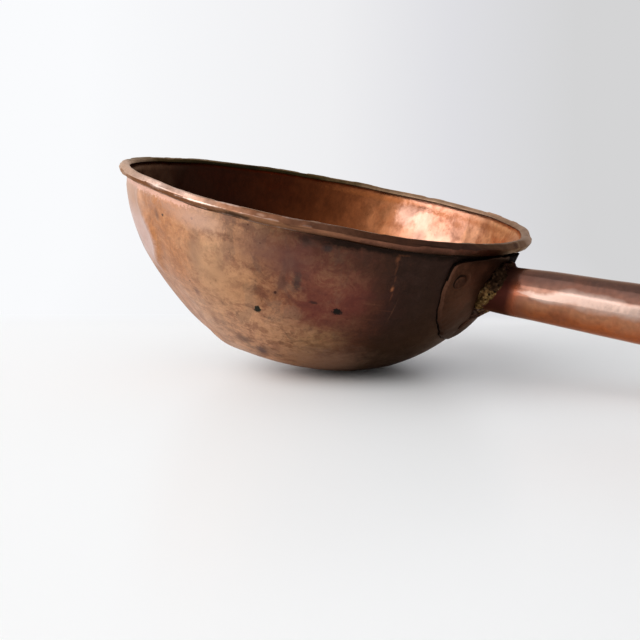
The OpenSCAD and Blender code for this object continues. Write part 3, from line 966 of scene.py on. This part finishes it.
def joint_crust(tree):
    """Burnt flux, grease and soot packed into a joint: black, matt and grainy."""
    grit = grain(pan_place(tree), 1.2, 4)
    return add(tree, "BsdfPrincipled", {
        "Base Color": ramp_of(grit, ((0.35, "0a0604"), (0.55, "140c08"), (0.7, "2a1a12"))),
        "Roughness": 0.95, "Specular IOR Level": 0.03, "Normal": bumps((grit, 0.4))})


plate_metal = new_material("dark copper plate", plate_copper)
crust_black = new_material("burnt crust in the joint", joint_crust)

# %% Outline of the plate
PLATE_MIDDLE = 32.0  # how far the middle point lies below the rim
TOP_EDGE, TOP_CURVE = 26.8, 3.4 / 2500  # from the middle up to the top edge, and how that sags towards its corners
CORNER = 2.6


def plate_edge(angle):
    """Distance from the plate's middle point to its outline, in a direction seen from the handle."""
    drops = np.linspace(-120, 67.4, 400)
    halves = 51.6 * (1 - between(drops, 15, 67.5) ** 2) ** 0.72
    up = np.arcsin(np.sin(angle))
    ways = np.arctan2(PLATE_MIDDLE - drops, halves)
    to_side = np.interp(up, ways[::-1], np.hypot(PLATE_MIDDLE - drops, halves)[::-1])
    curve = TOP_CURVE * np.cos(up) ** 2
    to_top = 2 * TOP_EDGE / (np.sin(up) + np.sqrt(np.sin(up) ** 2 + 4 * curve * TOP_EDGE))
    blended = -CORNER * np.log(np.exp(-to_side / CORNER) + np.exp(-to_top / CORNER))
    return blended + 0.3 * np.sin(9 * angle + 1) + 0.2 * np.sin(23 * angle)


def plate_angle(flat):
    """Direction of flat plate points from the plate's middle point."""
    return np.arctan2(flat[:, 1] + PLATE_MIDDLE, flat[:, 0])


def inset_of(flat):
    """How far flat plate points lie inside the plate's outline."""
    return plate_edge(plate_angle(flat)) - np.hypot(flat[:, 0], flat[:, 1] + PLATE_MIDDLE)


print("plate is", round(float(plate_edge(np.pi / 2) + plate_edge(-np.pi / 2)), 1), "mm high")

# %% Plate mesh
METAL, CRUST, CRUST_LIP, CRUST_START = 0, 1, 2, 3  # what a ring of the plate's edge is made of


def plate_mesh():
    """Points, faces and slot numbers of the plate and of the crust in the joint round it, upright, in millimetres."""
    count, rings, back_rings = 300, 64, 10
    angle = np.arange(count) / count * 2 * math.pi
    edge = plate_edge(angle)
    ragged = 0.5 * np.sin(17 * angle) + 0.35 * np.sin(41 * angle + 2) + 0.3 * np.sin(7 * angle + 1)
    filled = 0.45 + 0.55 * between(np.sin(angle), 0.1, 0.5)
    sections = (  # millimetres past the front, share of the way from the middle, distance from the bowl, material
        [(0, i / rings, plate_out, METAL) for i in range(1, rings + 1)]
        + [(0.35, 1.0, plate_out - 0.12, METAL), (0.55, 1.0, plate_out - 0.45, METAL),
           (0.6, 1.0, plate_out - 1.0, METAL), (0.7, 1.0, 0.5, CRUST_START), (1.1, 1.0, 0.02, CRUST_LIP),
           (0.8, 1.0, -0.25, CRUST), (0.4, 1.0, -0.1, CRUST)]
        + [(0, i / back_rings, plate_fit, METAL) for i in range(back_rings, 0, -1)])
    points = [(0.0, -PLATE_MIDDLE, plate_out)]
    for past, share, out, kind in sections:
        reach = (edge - 0.6) * share + past + (filled * (0.4 + 0.5 * ragged) - 0.4 if kind == CRUST_LIP else 0)
        points += list(zip(reach * np.cos(angle), -PLATE_MIDDLE + reach * np.sin(angle), np.full(count, out)))
    points.append((0.0, -PLATE_MIDDLE, plate_fit))
    after = [(i + 1) % count for i in range(count)]
    faces = [(0, 1 + i, 1 + after[i]) for i in range(count)]
    slots = [0] * count
    for ring_start, (*_, kind) in zip(range(1, len(points), count), sections[1:]):
        slots += [int(kind in (CRUST, CRUST_LIP) or kind == CRUST_START and fill > 0.6) for fill in filled]
        faces += [(ring_start + i, ring_start + count + i, ring_start + count + after[i], ring_start + after[i])
                  for i in range(count)]
    end = 1 + (len(sections) - 1) * count
    faces += [(end + i, len(points) - 1, end + after[i]) for i in range(count)]
    slots += [0] * count
    for i, face in enumerate(faces):
        y, z, out = np.mean([points[k] for k in face], 0)
        burnt = 22 + 5 * noise.noise(Vector((y / 3, z / 3, 0))) + 3 * noise.noise(Vector((y / 9, z / 9, 4)))
        if out > 0.2 and z > -22 and y + 0.5 * z > burnt - 25:
            slots[i] = 1
    return np.array(points), faces, slots


flat_points, plate_faces, plate_slots = plate_mesh()
print("plate has", sum(plate_slots), "faces of crust")

# %% Bend the plate
PLATE_WALL_R = 131.0  # radius of the bowl's wall where the plate lies


def bent_plate(flat):
    """Bends flat plate points (across, height from the rim, distance out) onto the bowl."""
    y, z, out = flat[:, 0], flat[:, 1] + rim_centre[1], flat[:, 2]
    front = out > plate_out - 0.5
    lift = bell(inset_of(flat), 6) * (0.35 + 0.25 * np.sin(plate_angle(flat) * 5 + 1))
    out = out + lift * between(out, -0.1, 0.5)
    spots = np.stack([y, z, 0 * out], -1)
    out = out + front * (0.22 * noise_at(spots, 11) + 0.12 * noise_at(spots, 4))
    for middle, _ in rivet_frames:
        out = out - front * 0.3 * bell(np.hypot(y - middle[1], z - middle[2]) - 5.3, 0.9)
    out = out - pressed(np.degrees(y / PLATE_WALL_R), -flat[:, 1])
    return np.stack([np.sqrt(side_x(z, out) ** 2 - y ** 2), y, z], -1)


plate = mesh_object("handle_plate_copper", flat_points * MM, plate_faces, {"rubbed": bell(inset_of(flat_points), 1.5)})
plate.data.materials.append(plate_metal)
plate.data.materials.append(crust_black)
plate.data.polygons.foreach_set("material_index", plate_slots)
finish_piece(plate, leaned(bent_plate(flat_points)))
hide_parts("handle_plate")
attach(plate, "root")

# %% [markdown]
# Three rivets hold the plate. A rivet repeats, so one profile is turned and set on three points by Geometry Nodes.
# Each point carries the outward direction of the wall. The hammer then spreads each head unevenly.

# %% Rivets
def rivet_copper(tree):
    """Peened copper heads, dark like the plate, with lighter rubbed tops."""
    fine = grain(pan_place(tree), 2.5, 4)
    return add(tree, "BsdfPrincipled", {
        "Base Color": ramp_of(fine, ((0.3, "34211a"), (0.5, "442b20"), (0.7, "563829"))), "Metallic": 0.88,
        "Roughness": 0.48, "Specular Tint": linear("d0b8a8"), "Normal": bumps((fine, 0.25))})


rivet_metal = new_material("peened copper rivets", rivet_copper)


def rivet_rows():
    """Profile of a rivet from the top of its outer head down to the middle of its inner head."""
    head, dome_z, dome_rise, dome_r, shank_r = plate_out + 0.1, -sheet_t - 0.2, 2.6, 5.5, 3.0
    rows = [(0, head + 0.5), (1.5, head + 0.49), (2.8, head + 0.44), (3.7, head + 0.34), (4.2, head + 0.18),
            (4.4, head - 0.1), (4.3, head - 0.3), (shank_r, head - 0.3), (shank_r, dome_z + 0.1),
            (5.3, dome_z + 0.1), (dome_r, dome_z - 0.15)]
    return rows + [(max(dome_r * math.cos(a), 0), dome_z - 0.2 - (dome_rise - 0.2) * math.sin(a))
                   for a in np.linspace(0.15, math.pi / 2, 8)]


def rivet_tree():
    """Tree that sets a turned rivet on every point, along the direction that the point carries."""
    tree, given = tree_with("rivets", {"Profile": "Object", "Columns": "Int", "Finish": "Material"})
    profile = add(tree, "GeometryNodeObjectInfo", (given["Profile"],), out="Geometry")
    rivet = add(tree, "GeometryNodeGroup", (profile, given["Columns"]), node_tree=turn_a_profile)
    carried = [add(tree, "GeometryNodeInputNamedAttribute", {"Name": name}, data_type="FLOAT") for name in OUTWARD]
    outward = add(tree, "CombineXYZ", carried)
    turned = add(tree, "FunctionNodeAlignRotationToVector", {"Vector": outward}, axis="Z")
    shape = add(tree, "GeometryNodeInstanceOnPoints", {0: given[0], "Instance": rivet, "Rotation": turned})
    shape = add(tree, "GeometryNodeRealizeInstances", (shape,))
    shape = add(tree, "GeometryNodeSetMaterial", {0: shape, "Material": given["Finish"]})
    add(tree, "NodeGroupOutput", (shape,), out=None)
    return tree


rivet_profile = profile_object("rivet_profile", rivet_rows())
middles, outs = (np.array(part) for part in zip(*rivet_frames))
rivets = mesh_object("rivets_copper", middles * MM, [], zip(OUTWARD, outs.T))
run_tree(rivets, rivet_tree(), {"Profile": rivet_profile, "Columns": 48, "Finish": rivet_metal})
bpy.data.objects.remove(rivet_profile)
rivet_points = points_of(rivets)
uneven = np.stack([noise_at(rivet_points, 4, shift) for shift in (1, 7, 13)], -1) * 0.22
press = pressed(turn_of(rivet_points), rim_centre[1] - rivet_points[:, 2])[:, None]
inwards = press * rivet_points * (-1, -1, 0) / PLATE_WALL_R
finish_piece(rivets, leaned(rivet_points + uneven + inwards))
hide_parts("rivet_left", "rivet_right", "rivet_lower")
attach(rivets, "root")

# %% [markdown]
# The handle is a sheet rolled into a tube that swells a little, with its mouth rolled outwards over a thin wire. It
# is turned like the bowl. Its foot is then cut to the plate: for each column the place where it meets the plate is
# found by halving, and the first rows are shifted to start there. A Boolean drills the hanging hole.

# %% Copper of the handle
def tube_copper(tree):
    """Copper rubbed by hands to a soft gloss, browned by the fire near the bowl and orange underneath.

    A highlight along it is painted.
    """
    place = pan_place(tree)
    broad, fine = grain(place, 22, 4), grain(place, 3, 5)
    from_start = add(tree, "VectorMath", (place, list(handle_start * MM)), operation="SUBTRACT")
    far, low = (pushed(far_along(from_start, way), centred(broad), 0.012) for way in (along_handle, below_handle))
    colour = ramp_of(fade(low, -0.017, 0.017), (
        (0.05, "5e4036"), (0.24, "764f40"), (0.36, "886454"), (0.5, "92644e"), (0.64, "a66c4a"), (0.8, "a8592a"),
        (0.95, "a04f1c")))
    colour = tinted(colour, (broad, 0.52, 0.66, "7a4a38", 0.4))
    colour = toned(colour, (fine, 1.18, 0.82))
    # Painted highlight: a pale wedge along the tube a little above its middle, where the window reflects, narrow near
    # the bowl and wider further out.
    painted_highlight = add(tree, "Math", (low, 0.0026), operation="ADD")
    painted_highlight = add(tree, "Math", (painted_highlight,), operation="ABSOLUTE")
    painted_highlight = add(tree, "Math", (painted_highlight, fade(far, 0.0235, 0.048, 0.0034, 0.0002)), operation="DIVIDE")
    colour = tinted(
        colour,
        (painted_highlight, 1.6, 0.6, "b49c90", 0.75),
        (far, 0.034, 0.025, "7a4632", 0.65),
        (far, 0.0255, 0.0215, "8e4322", fade(low, -0.011, -0.006, 0.6)),
        (far, 0.0222, 0.0165, "3a1a17", 0.93),
        (low, -0.006, -0.011, "4d3026", fade(far, 0.045, 0.03, 0.6)))
    return add(tree, "BsdfPrincipled", {
        "Base Color": colour, "Roughness": fade(far, 0.025, 0.0165, 0.5, fade(broad, 0.3, 0.7, 0.18, 0.1)),
        "Metallic": 0.92, "Specular IOR Level": 0.3, "Specular Tint": linear("f0cdb8"),
        "Coat Weight": fade(far, 0.0165, 0.025, 0.3), "Coat Roughness": 0.07, "Normal": bumps((fine, 0.04))})


tube_metal = new_material("hand-worn copper tube", tube_copper)

# %% Handle tube
FOOT_LEN, FOOT_SEARCH = 36.0, 25.0  # stretch of the tube that is shifted to its foot, and how far the foot may lie
mouth_seat_r = mouth_wire_d / 2 + fit
mouth_roll_r = mouth_seat_r + tube_t
taper_len = handle_len - mouth_roll_r - mouth_len
lip_centre = np.array([mouth_d / 2 + mouth_seat_r, handle_len - mouth_roll_r])
lip_edge = math.degrees(math.acos(mouth_wire_d / 2 / mouth_roll_r)) - 90


def tube_radius(s):
    """Outside radius of the tube at a distance from the bowl."""
    return root_d / 2 + (mouth_d - root_d) / 2 * np.sin(math.pi / 2 * between(s, 0, taper_len))


def tube_rows():
    """Closed profile of the tube: outside, round the lip's wire, over the lip and back along the inside."""
    outer = [(float(tube_radius(s)), s) for s in np.arange(0, lip_centre[1], 3.0)]
    seat = [row[:2] for row in arc(lip_centre, mouth_seat_r, 270, lip_edge, 1.2)]
    roll = [row[:2] for row in arc(lip_centre, mouth_roll_r, 270, lip_edge, 0.7)]
    inner = [(float(tube_radius(s)) - tube_t, s) for s in np.arange(0, lip_centre[1], 6.0)]
    return outer + seat + roll[::-1] + inner[::-1] + outer[:1]


def handle_sides(angle):
    """Directions away from the handle's axis, at angles that start underneath."""
    return np.cos(angle)[..., None] * below_handle + np.sin(angle)[..., None] * across


def foot_of(angle):
    """Where a straight line of the tube's outside meets the plate, as a distance along the handle."""
    line = handle_start + root_d / 2 * handle_sides(angle)
    low, high = np.full(len(angle), -FOOT_SEARCH), np.full(len(angle), FOOT_SEARCH)
    for _ in range(30):
        middle = (low + high) / 2
        p = line + middle[:, None] * along_handle
        outside = np.hypot(p[:, 0], p[:, 1]) > side_x(p[:, 2], plate_out + 0.05)
        low, high = np.where(outside, low, middle), np.where(outside, middle, high)
    return middle


def placed_tube(points):
    """Tube points, turned round Z, onto the upright pan, with the foot cut to the plate."""
    angle = np.arctan2(points[:, 1], points[:, 0])
    reach, s = np.hypot(points[:, 0], points[:, 1]), points[:, 2]
    foot = foot_of(angle)
    s = np.where(s < FOOT_LEN, foot + s * (FOOT_LEN - foot) / FOOT_LEN, s)
    out = handle_start + s[:, None] * along_handle + reach[:, None] * handle_sides(angle)
    wobble = 0.3 * noise_at(out, 26) + 0.05 * noise_at(out, 9)
    wobble = wobble * np.clip((lip_centre[1] - s) / 20, 0.3, 1) * between(s, 0, 14)
    return out + handle_sides(angle) * wobble[:, None]


handle = profile_object("handle_copper_tube", tube_rows())
run_tree(handle, turned_tree(("Tube",)), {"Columns": 128, "Tube": tube_metal})
finish_piece(handle, leaned(placed_tube(points_of(handle))))

# %% Hanging hole
DRILL_SIDES, DRILL_REACH = 32, 30
hole_at = handle_start + (handle_len - hole_back) * along_handle
drill = [leaned(hole_at + end * DRILL_REACH * below_handle
                + hole_d / 2 * (math.cos(a) * along_handle + math.sin(a) * across))
         for end in (-1, 1) for a in np.arange(DRILL_SIDES) / DRILL_SIDES * 2 * math.pi]
drill_faces = [range(DRILL_SIDES - 1, -1, -1), range(DRILL_SIDES, 2 * DRILL_SIDES)]
for i in range(DRILL_SIDES):
    after = (i + 1) % DRILL_SIDES
    drill_faces.append((i, after, DRILL_SIDES + after, DRILL_SIDES + i))
cutter = mesh_object("drill", drill, drill_faces)
cut = handle.modifiers.new("hanging hole", "BOOLEAN")
cut.operation, cut.solver, cut.object = "DIFFERENCE", "EXACT", cutter
before = len(handle.data.polygons)
plain(handle, cut)
bpy.data.objects.remove(cutter)
print("drilling changed the faces from", before, "to", len(handle.data.polygons))
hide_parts("handle_tube")
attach(handle, "root")

# %% Wire in the lip
mouth_wire = ring("mouth_iron_wire", lip_centre, mouth_wire_d, 96)
finish_piece(mouth_wire, leaned(placed_tube(points_of(mouth_wire))))
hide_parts("mouth_wire")
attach(mouth_wire, "root")

# %% [markdown]
# Brass braze joins the tube to the plate and closes the tube's seam. It was fed in as grains with borax and melted,
# so it is lumpy and pitted, olive gold where it is clean and black where the flux burnt. A hull would look poured.
# The collar is a closed band round the tube whose surface is pushed about by noise of two sizes, and the seam is a
# narrow bead of the same metal.

# %% Brass of the braze
def braze_brass(tree):
    """Cast-looking brass: granular, olive gold, with black scale at the top and grey ash at the bottom."""
    place = pan_place(tree)
    _, drop = turn_and_drop(place)
    lumps = grain(place, 5, 4)
    grit = grain(place, 2.0, 4, (1, 1, 1), 0.6)
    burnt = ramp_of(grit, ((0.35, "160d08"), (0.55, "281911"), (0.7, "443023"), (0.8, "6a5542")))
    ashen = ramp_of(grit, ((0.35, "241813"), (0.5, "43332c"), (0.65, "66534a"), (0.8, "8c7a70")))
    holes = add(tree, "TexVoronoi", {"Vector": place, "Scale": 1 / (4.5 * MM)}, out="Distance")
    wander = pushed(drop, lumps, 22.0)
    colour = tinted(
        ramp_of(grit, ((0.3, "362618"), (0.45, "584226"), (0.58, "785d38"), (0.74, "b09a72"))),
        (lumps, 0.5, 0.56, "54341f", 0.5),
        (wander, 39.0, 35.5, burnt, 0.96),
        (wander, 50.0, 53.0, ashen, 0.96),
        (holes, 0.22, 0.14, "080504", 0.95))
    return add(tree, "BsdfPrincipled", {
        "Base Color": colour, "Roughness": fade(grit, 0.3, 0.7, 0.34, 0.6), "Metallic": 0.85,
        "Specular IOR Level": 0.2, "Specular Tint": linear("c0a080"), "Normal": bumps((grit, 0.4))})


braze_metal = new_material("granular brass braze", braze_brass)


# %% Braze collar round the root
def collar_loop(angle):
    """Foot on the plate, end on the tube and inner edge of the collar at each angle round the tube."""
    down, run = bell(angle - 0.2, 0.55), bell(angle - 0.05, 0.3)
    near_side = bell(angle + 1.7, 0.8) + bell(angle - 1.9, 0.9)
    wide = (1.6 + 3.5 * down + 8 * run + 4 * bell(np.abs(angle) - 2.75, 0.5)
            + 0.4 * np.sin(3 * angle + 1) + 0.5 * np.sin(7 * angle) + 0.3 * np.sin(19 * angle))
    tall = (4.0 + 7.0 * near_side + 3 * down
            + 0.6 * np.sin(5 * angle) + 0.5 * np.sin(13 * angle) + 0.3 * np.sin(29 * angle))
    place, outward = wall_frame(0, handle_z)
    downward = np.array([outward[2], 0, -outward[0]])
    foot = place + (root_d / 2 + wide)[:, None] * (
        np.cos(angle)[:, None] * downward + np.sin(angle)[:, None] * across)
    foot[:, 0] = np.sqrt(side_x(foot[:, 2], plate_out - 0.1) ** 2 - foot[:, 1] ** 2)
    sides, start = handle_sides(angle), foot_of(angle)
    corner, top, inner = (
        handle_start + (start + further)[:, None] * along_handle + (root_d / 2 + proud) * sides
        for further, proud in ((1.6, 1.5), (tall, 0.05), (0.2, -0.6)))
    return foot, corner, top, inner, sides * 0.8 + along_handle * 0.6


def loop_faces(rows, count, rings):
    """Faces of a tube of closed rows: each ring of faces joins a row to the next, and the last one may close it."""
    return [(r * count + i, r * count + (i + 1) % count, (r + 1) % rows * count + (i + 1) % count,
             (r + 1) % rows * count + i) for r in range(rings) for i in range(count)]


def collar():
    """Points and faces of the braze collar, upright, in millimetres."""
    count, steps = 300, 44
    angle = np.arange(count) / count * 2 * math.pi
    angle = np.where(angle > math.pi, angle - 2 * math.pi, angle)
    foot, corner, top, inner, out = collar_loop(angle)
    rows = []
    for v in np.linspace(0, 1, steps):
        body = foot * (1 - v) ** 2 + corner * 2 * v * (1 - v) + top * v ** 2 + out * 0.9 * math.sin(math.pi * v)
        strength = math.sin(math.pi * v) ** 0.5
        push = 1.4 * noise_at(body, 5.0) + 0.5 * noise_at(body, 1.9, 3) - 0.9 * between(cells_at(body, 4), 1, 0)
        rows.append(body + out * (push * strength)[:, None])
    rows += [top * 0.5 + inner * 0.5 - out * 0.4, inner, inner * 0.5 + foot * 0.5 - out * 1.2]
    return np.concatenate(rows), loop_faces(len(rows), count, len(rows))


collar_points, collar_faces = collar()
root_braze = mesh_object("root_brass_braze", collar_points * MM, collar_faces)
root_braze.data.materials.append(braze_metal)
finish_piece(root_braze, leaned(collar_points))
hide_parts("root_braze")
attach(root_braze, "root")

# %% Braze of the seam
SEAM_ANGLE = math.radians(25)
SEAM_SIDES = 12


def seam():
    """A narrow uneven bead along the tube's underside, upright, in millimetres."""
    rows = []
    stations = np.arange(2.0, handle_len - 2 * mouth_roll_r - tube_t, 1.5)
    for s in stations:
        wider, prouder = noise.noise(Vector((s / 6, 0, 0))), noise.noise(Vector((s / 9, 5, 0)))
        ends = min(1, (stations[-1] - s) / 3 + 0.05, (s - stations[0]) / 3 + 0.05)
        half, proud = (1.0 + 0.5 * wider) * ends, (0.3 + 0.15 * prouder) * ends
        a = np.linspace(0, 2 * math.pi, SEAM_SIDES, endpoint=False)
        up, down = np.maximum(np.sin(a), 0), np.minimum(np.sin(a), 0)
        radius = tube_radius(s) - 0.1 + (proud + 0.1) * up + 0.5 * down
        rows.append(handle_start + s * along_handle + radius[:, None] * handle_sides(
            SEAM_ANGLE + half * np.cos(a) / 17))
    count = len(rows)
    ends = [range(SEAM_SIDES - 1, -1, -1), range((count - 1) * SEAM_SIDES, count * SEAM_SIDES)]
    return np.concatenate(rows), loop_faces(count, SEAM_SIDES, count - 1) + ends


seam_points, seam_faces = seam()
seam_braze = mesh_object("seam_brass_braze", seam_points * MM, seam_faces)
seam_braze.data.materials.append(braze_metal)
finish_piece(seam_braze, leaned(seam_points))
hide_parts("seam_braze")
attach(seam_braze, "root")

# %% [markdown]
# The stage is a white glossy table that sweeps up into a pale wall, with one large soft window to the left of the
# camera and a weak even light from the room. Copper shows what it reflects, so the window's side matters more than its
# strength: it lights the bright patches on the far inside wall, on the rim and along the handle, which the colours
# there also carry as painted highlights.

# %% Table and wall
BACKDROP = ((0.1, "fafbfd"), (0.5, "efeff1"), (0.7, "dfdfe3"), (0.9, "d4d4d5"))
forward = Vector((looks_along.x, looks_along.y, 0)).normalized()
sideways = Vector((forward.y, -forward.x, 0))


def sweep(rows):
    """A band of the stage: (distance away, height) rows in metres, as wide as a room."""
    points = [forward * d + sideways * w + Vector((0, 0, z)) for d, z in rows for w in (-6.0, 6.0)]
    return points, [(2 * i, 2 * i + 1, 2 * i + 3, 2 * i + 2) for i in range(len(rows) - 1)]


def pale_backdrop(tree):
    """The backdrop's own colour, brighter at the window's side: its shades widen from the pan to the wall."""
    place = add(tree, "TexCoord", out="Object")
    half_width = fade(far_along(place, forward), 0.0, 2.0, 0.8, 0.3)
    share = add(tree, "Math", (far_along(place, sideways), half_width), operation="DIVIDE")
    return ramp_of(fade(share, -1.0, 1.0), BACKDROP)


def seen_directly(shader, colour, share):
    """A shader that rays from the camera, from gloss and from glass see in a plain colour, where share is 1."""
    tree = shader.id_data
    path = add(tree, "LightPath", out=None)
    seen = path.outputs["Is Camera Ray"]
    for ray in ("Is Glossy Ray", "Is Transmission Ray"):
        seen = add(tree, "Math", (seen, path.outputs[ray]), operation="MAXIMUM")
    seen = add(tree, "Math", (seen, share), operation="MULTIPLY")
    return add(tree, "MixShader", (seen, shader, add(tree, "Emission", (colour, 1.0))))


def lacquered_board(tree):
    """White lacquer: a pale body with a soft reflection of what stands on it, fading into the backdrop.

    Round the pan, painted light lifts its shadow.
    """
    shader = add(tree, "BsdfPrincipled", {
        "Base Color": linear("f4f4f3"), "Roughness": 0.3, "Specular IOR Level": 0.35})
    place = add(tree, "TexCoord", out="Object")
    share = add(tree, "MapRange", (far_along(place, forward), 0.17, 0.30, 0.0, 1.0), interpolation_type="SMOOTHSTEP")
    # Painted light: round the pan the board shows its plain colour in part, more at the left than at the right, which
    # lifts its shadow there.
    near = add(tree, "VectorMath", (place,), "Value", operation="LENGTH")
    most = fade(far_along(place, sideways), -0.09, 0.1, 0.14, 0.48)
    near = add(tree, "MapRange", (near, 0.03, 0.1, 0.0, most), interpolation_type="SMOOTHSTEP")
    plain_share = add(tree, "Math", (share, near), operation="MAXIMUM")
    return seen_directly(shader, laid("fcfcfc", pale_backdrop(tree), share), plain_share)


def painted_wall(tree):
    """Pale matt paint."""
    shader = add(tree, "BsdfPrincipled", {"Base Color": linear("e8e8ea"), "Roughness": 0.9})
    return seen_directly(shader, pale_backdrop(tree), 1.0)


bend = [(1.2 + 0.8 * math.sin(a), 0.8 - 0.8 * math.cos(a)) for a in np.linspace(0, math.pi / 2, 14)]
for name, rows, finish in (
        ("table", [(-3.0, 0.0), (1.2, 0.0)], new_material("white lacquered table", lacquered_board)),
        ("wall", bend + [(2.0, 4.0)], new_material("pale wall", painted_wall))):
    band = mesh_object(name, *sweep(rows))
    band.data.materials.append(finish)
    band.data.shade_smooth()


# %% Window and room light
def window(name, direction, distance, width, height, watts, colour):
    """A soft rectangular lamp that faces the pan from a direction."""
    lamp = bpy.data.lights.new(name, "AREA")
    lamp.shape, lamp.size, lamp.size_y, lamp.energy = "RECTANGLE", width, height, watts
    lamp.color = linear(colour)[:3]
    piece = bpy.data.objects.new(name, lamp)
    bpy.context.scene.collection.objects.link(piece)
    piece.location = Vector(direction).normalized() * distance + Vector((0, 0, 0.1))
    piece.rotation_euler = (-Vector(direction)).to_track_quat("-Z", "Y").to_euler()


window("window at the left", (-0.66, -0.72, 0.3), 1.9, 2.2, 1.9, 22, "fffcfa")
window("sky from above", (-0.35, -0.5, 1.0), 2.4, 2.6, 2.6, 11, "f8faff")


def room():
    """Even light of a pale room, brighter at the left than at the right."""
    world = bpy.data.worlds.new("pale room")
    bpy.context.scene.world = world
    world.use_nodes = True
    tree = world.node_tree
    tree.nodes.clear()
    left = far_along(add(tree, "TexCoord", out="Generated"), (-0.75, -0.65, 0.1))
    colour = ramp_of(fade(left, -1.0, 1.0), ((0.0, "a2a2a4"), (0.4, "bebec0"), (0.7, "e6e8ea"), (1.0, "ffffff")))
    add(tree, "OutputWorld", (add(tree, "Background", (colour, 1.12)),), out=None)


room()
bpy.context.scene.view_settings.view_transform = "Standard"
print("lit by two soft lamps and the room")
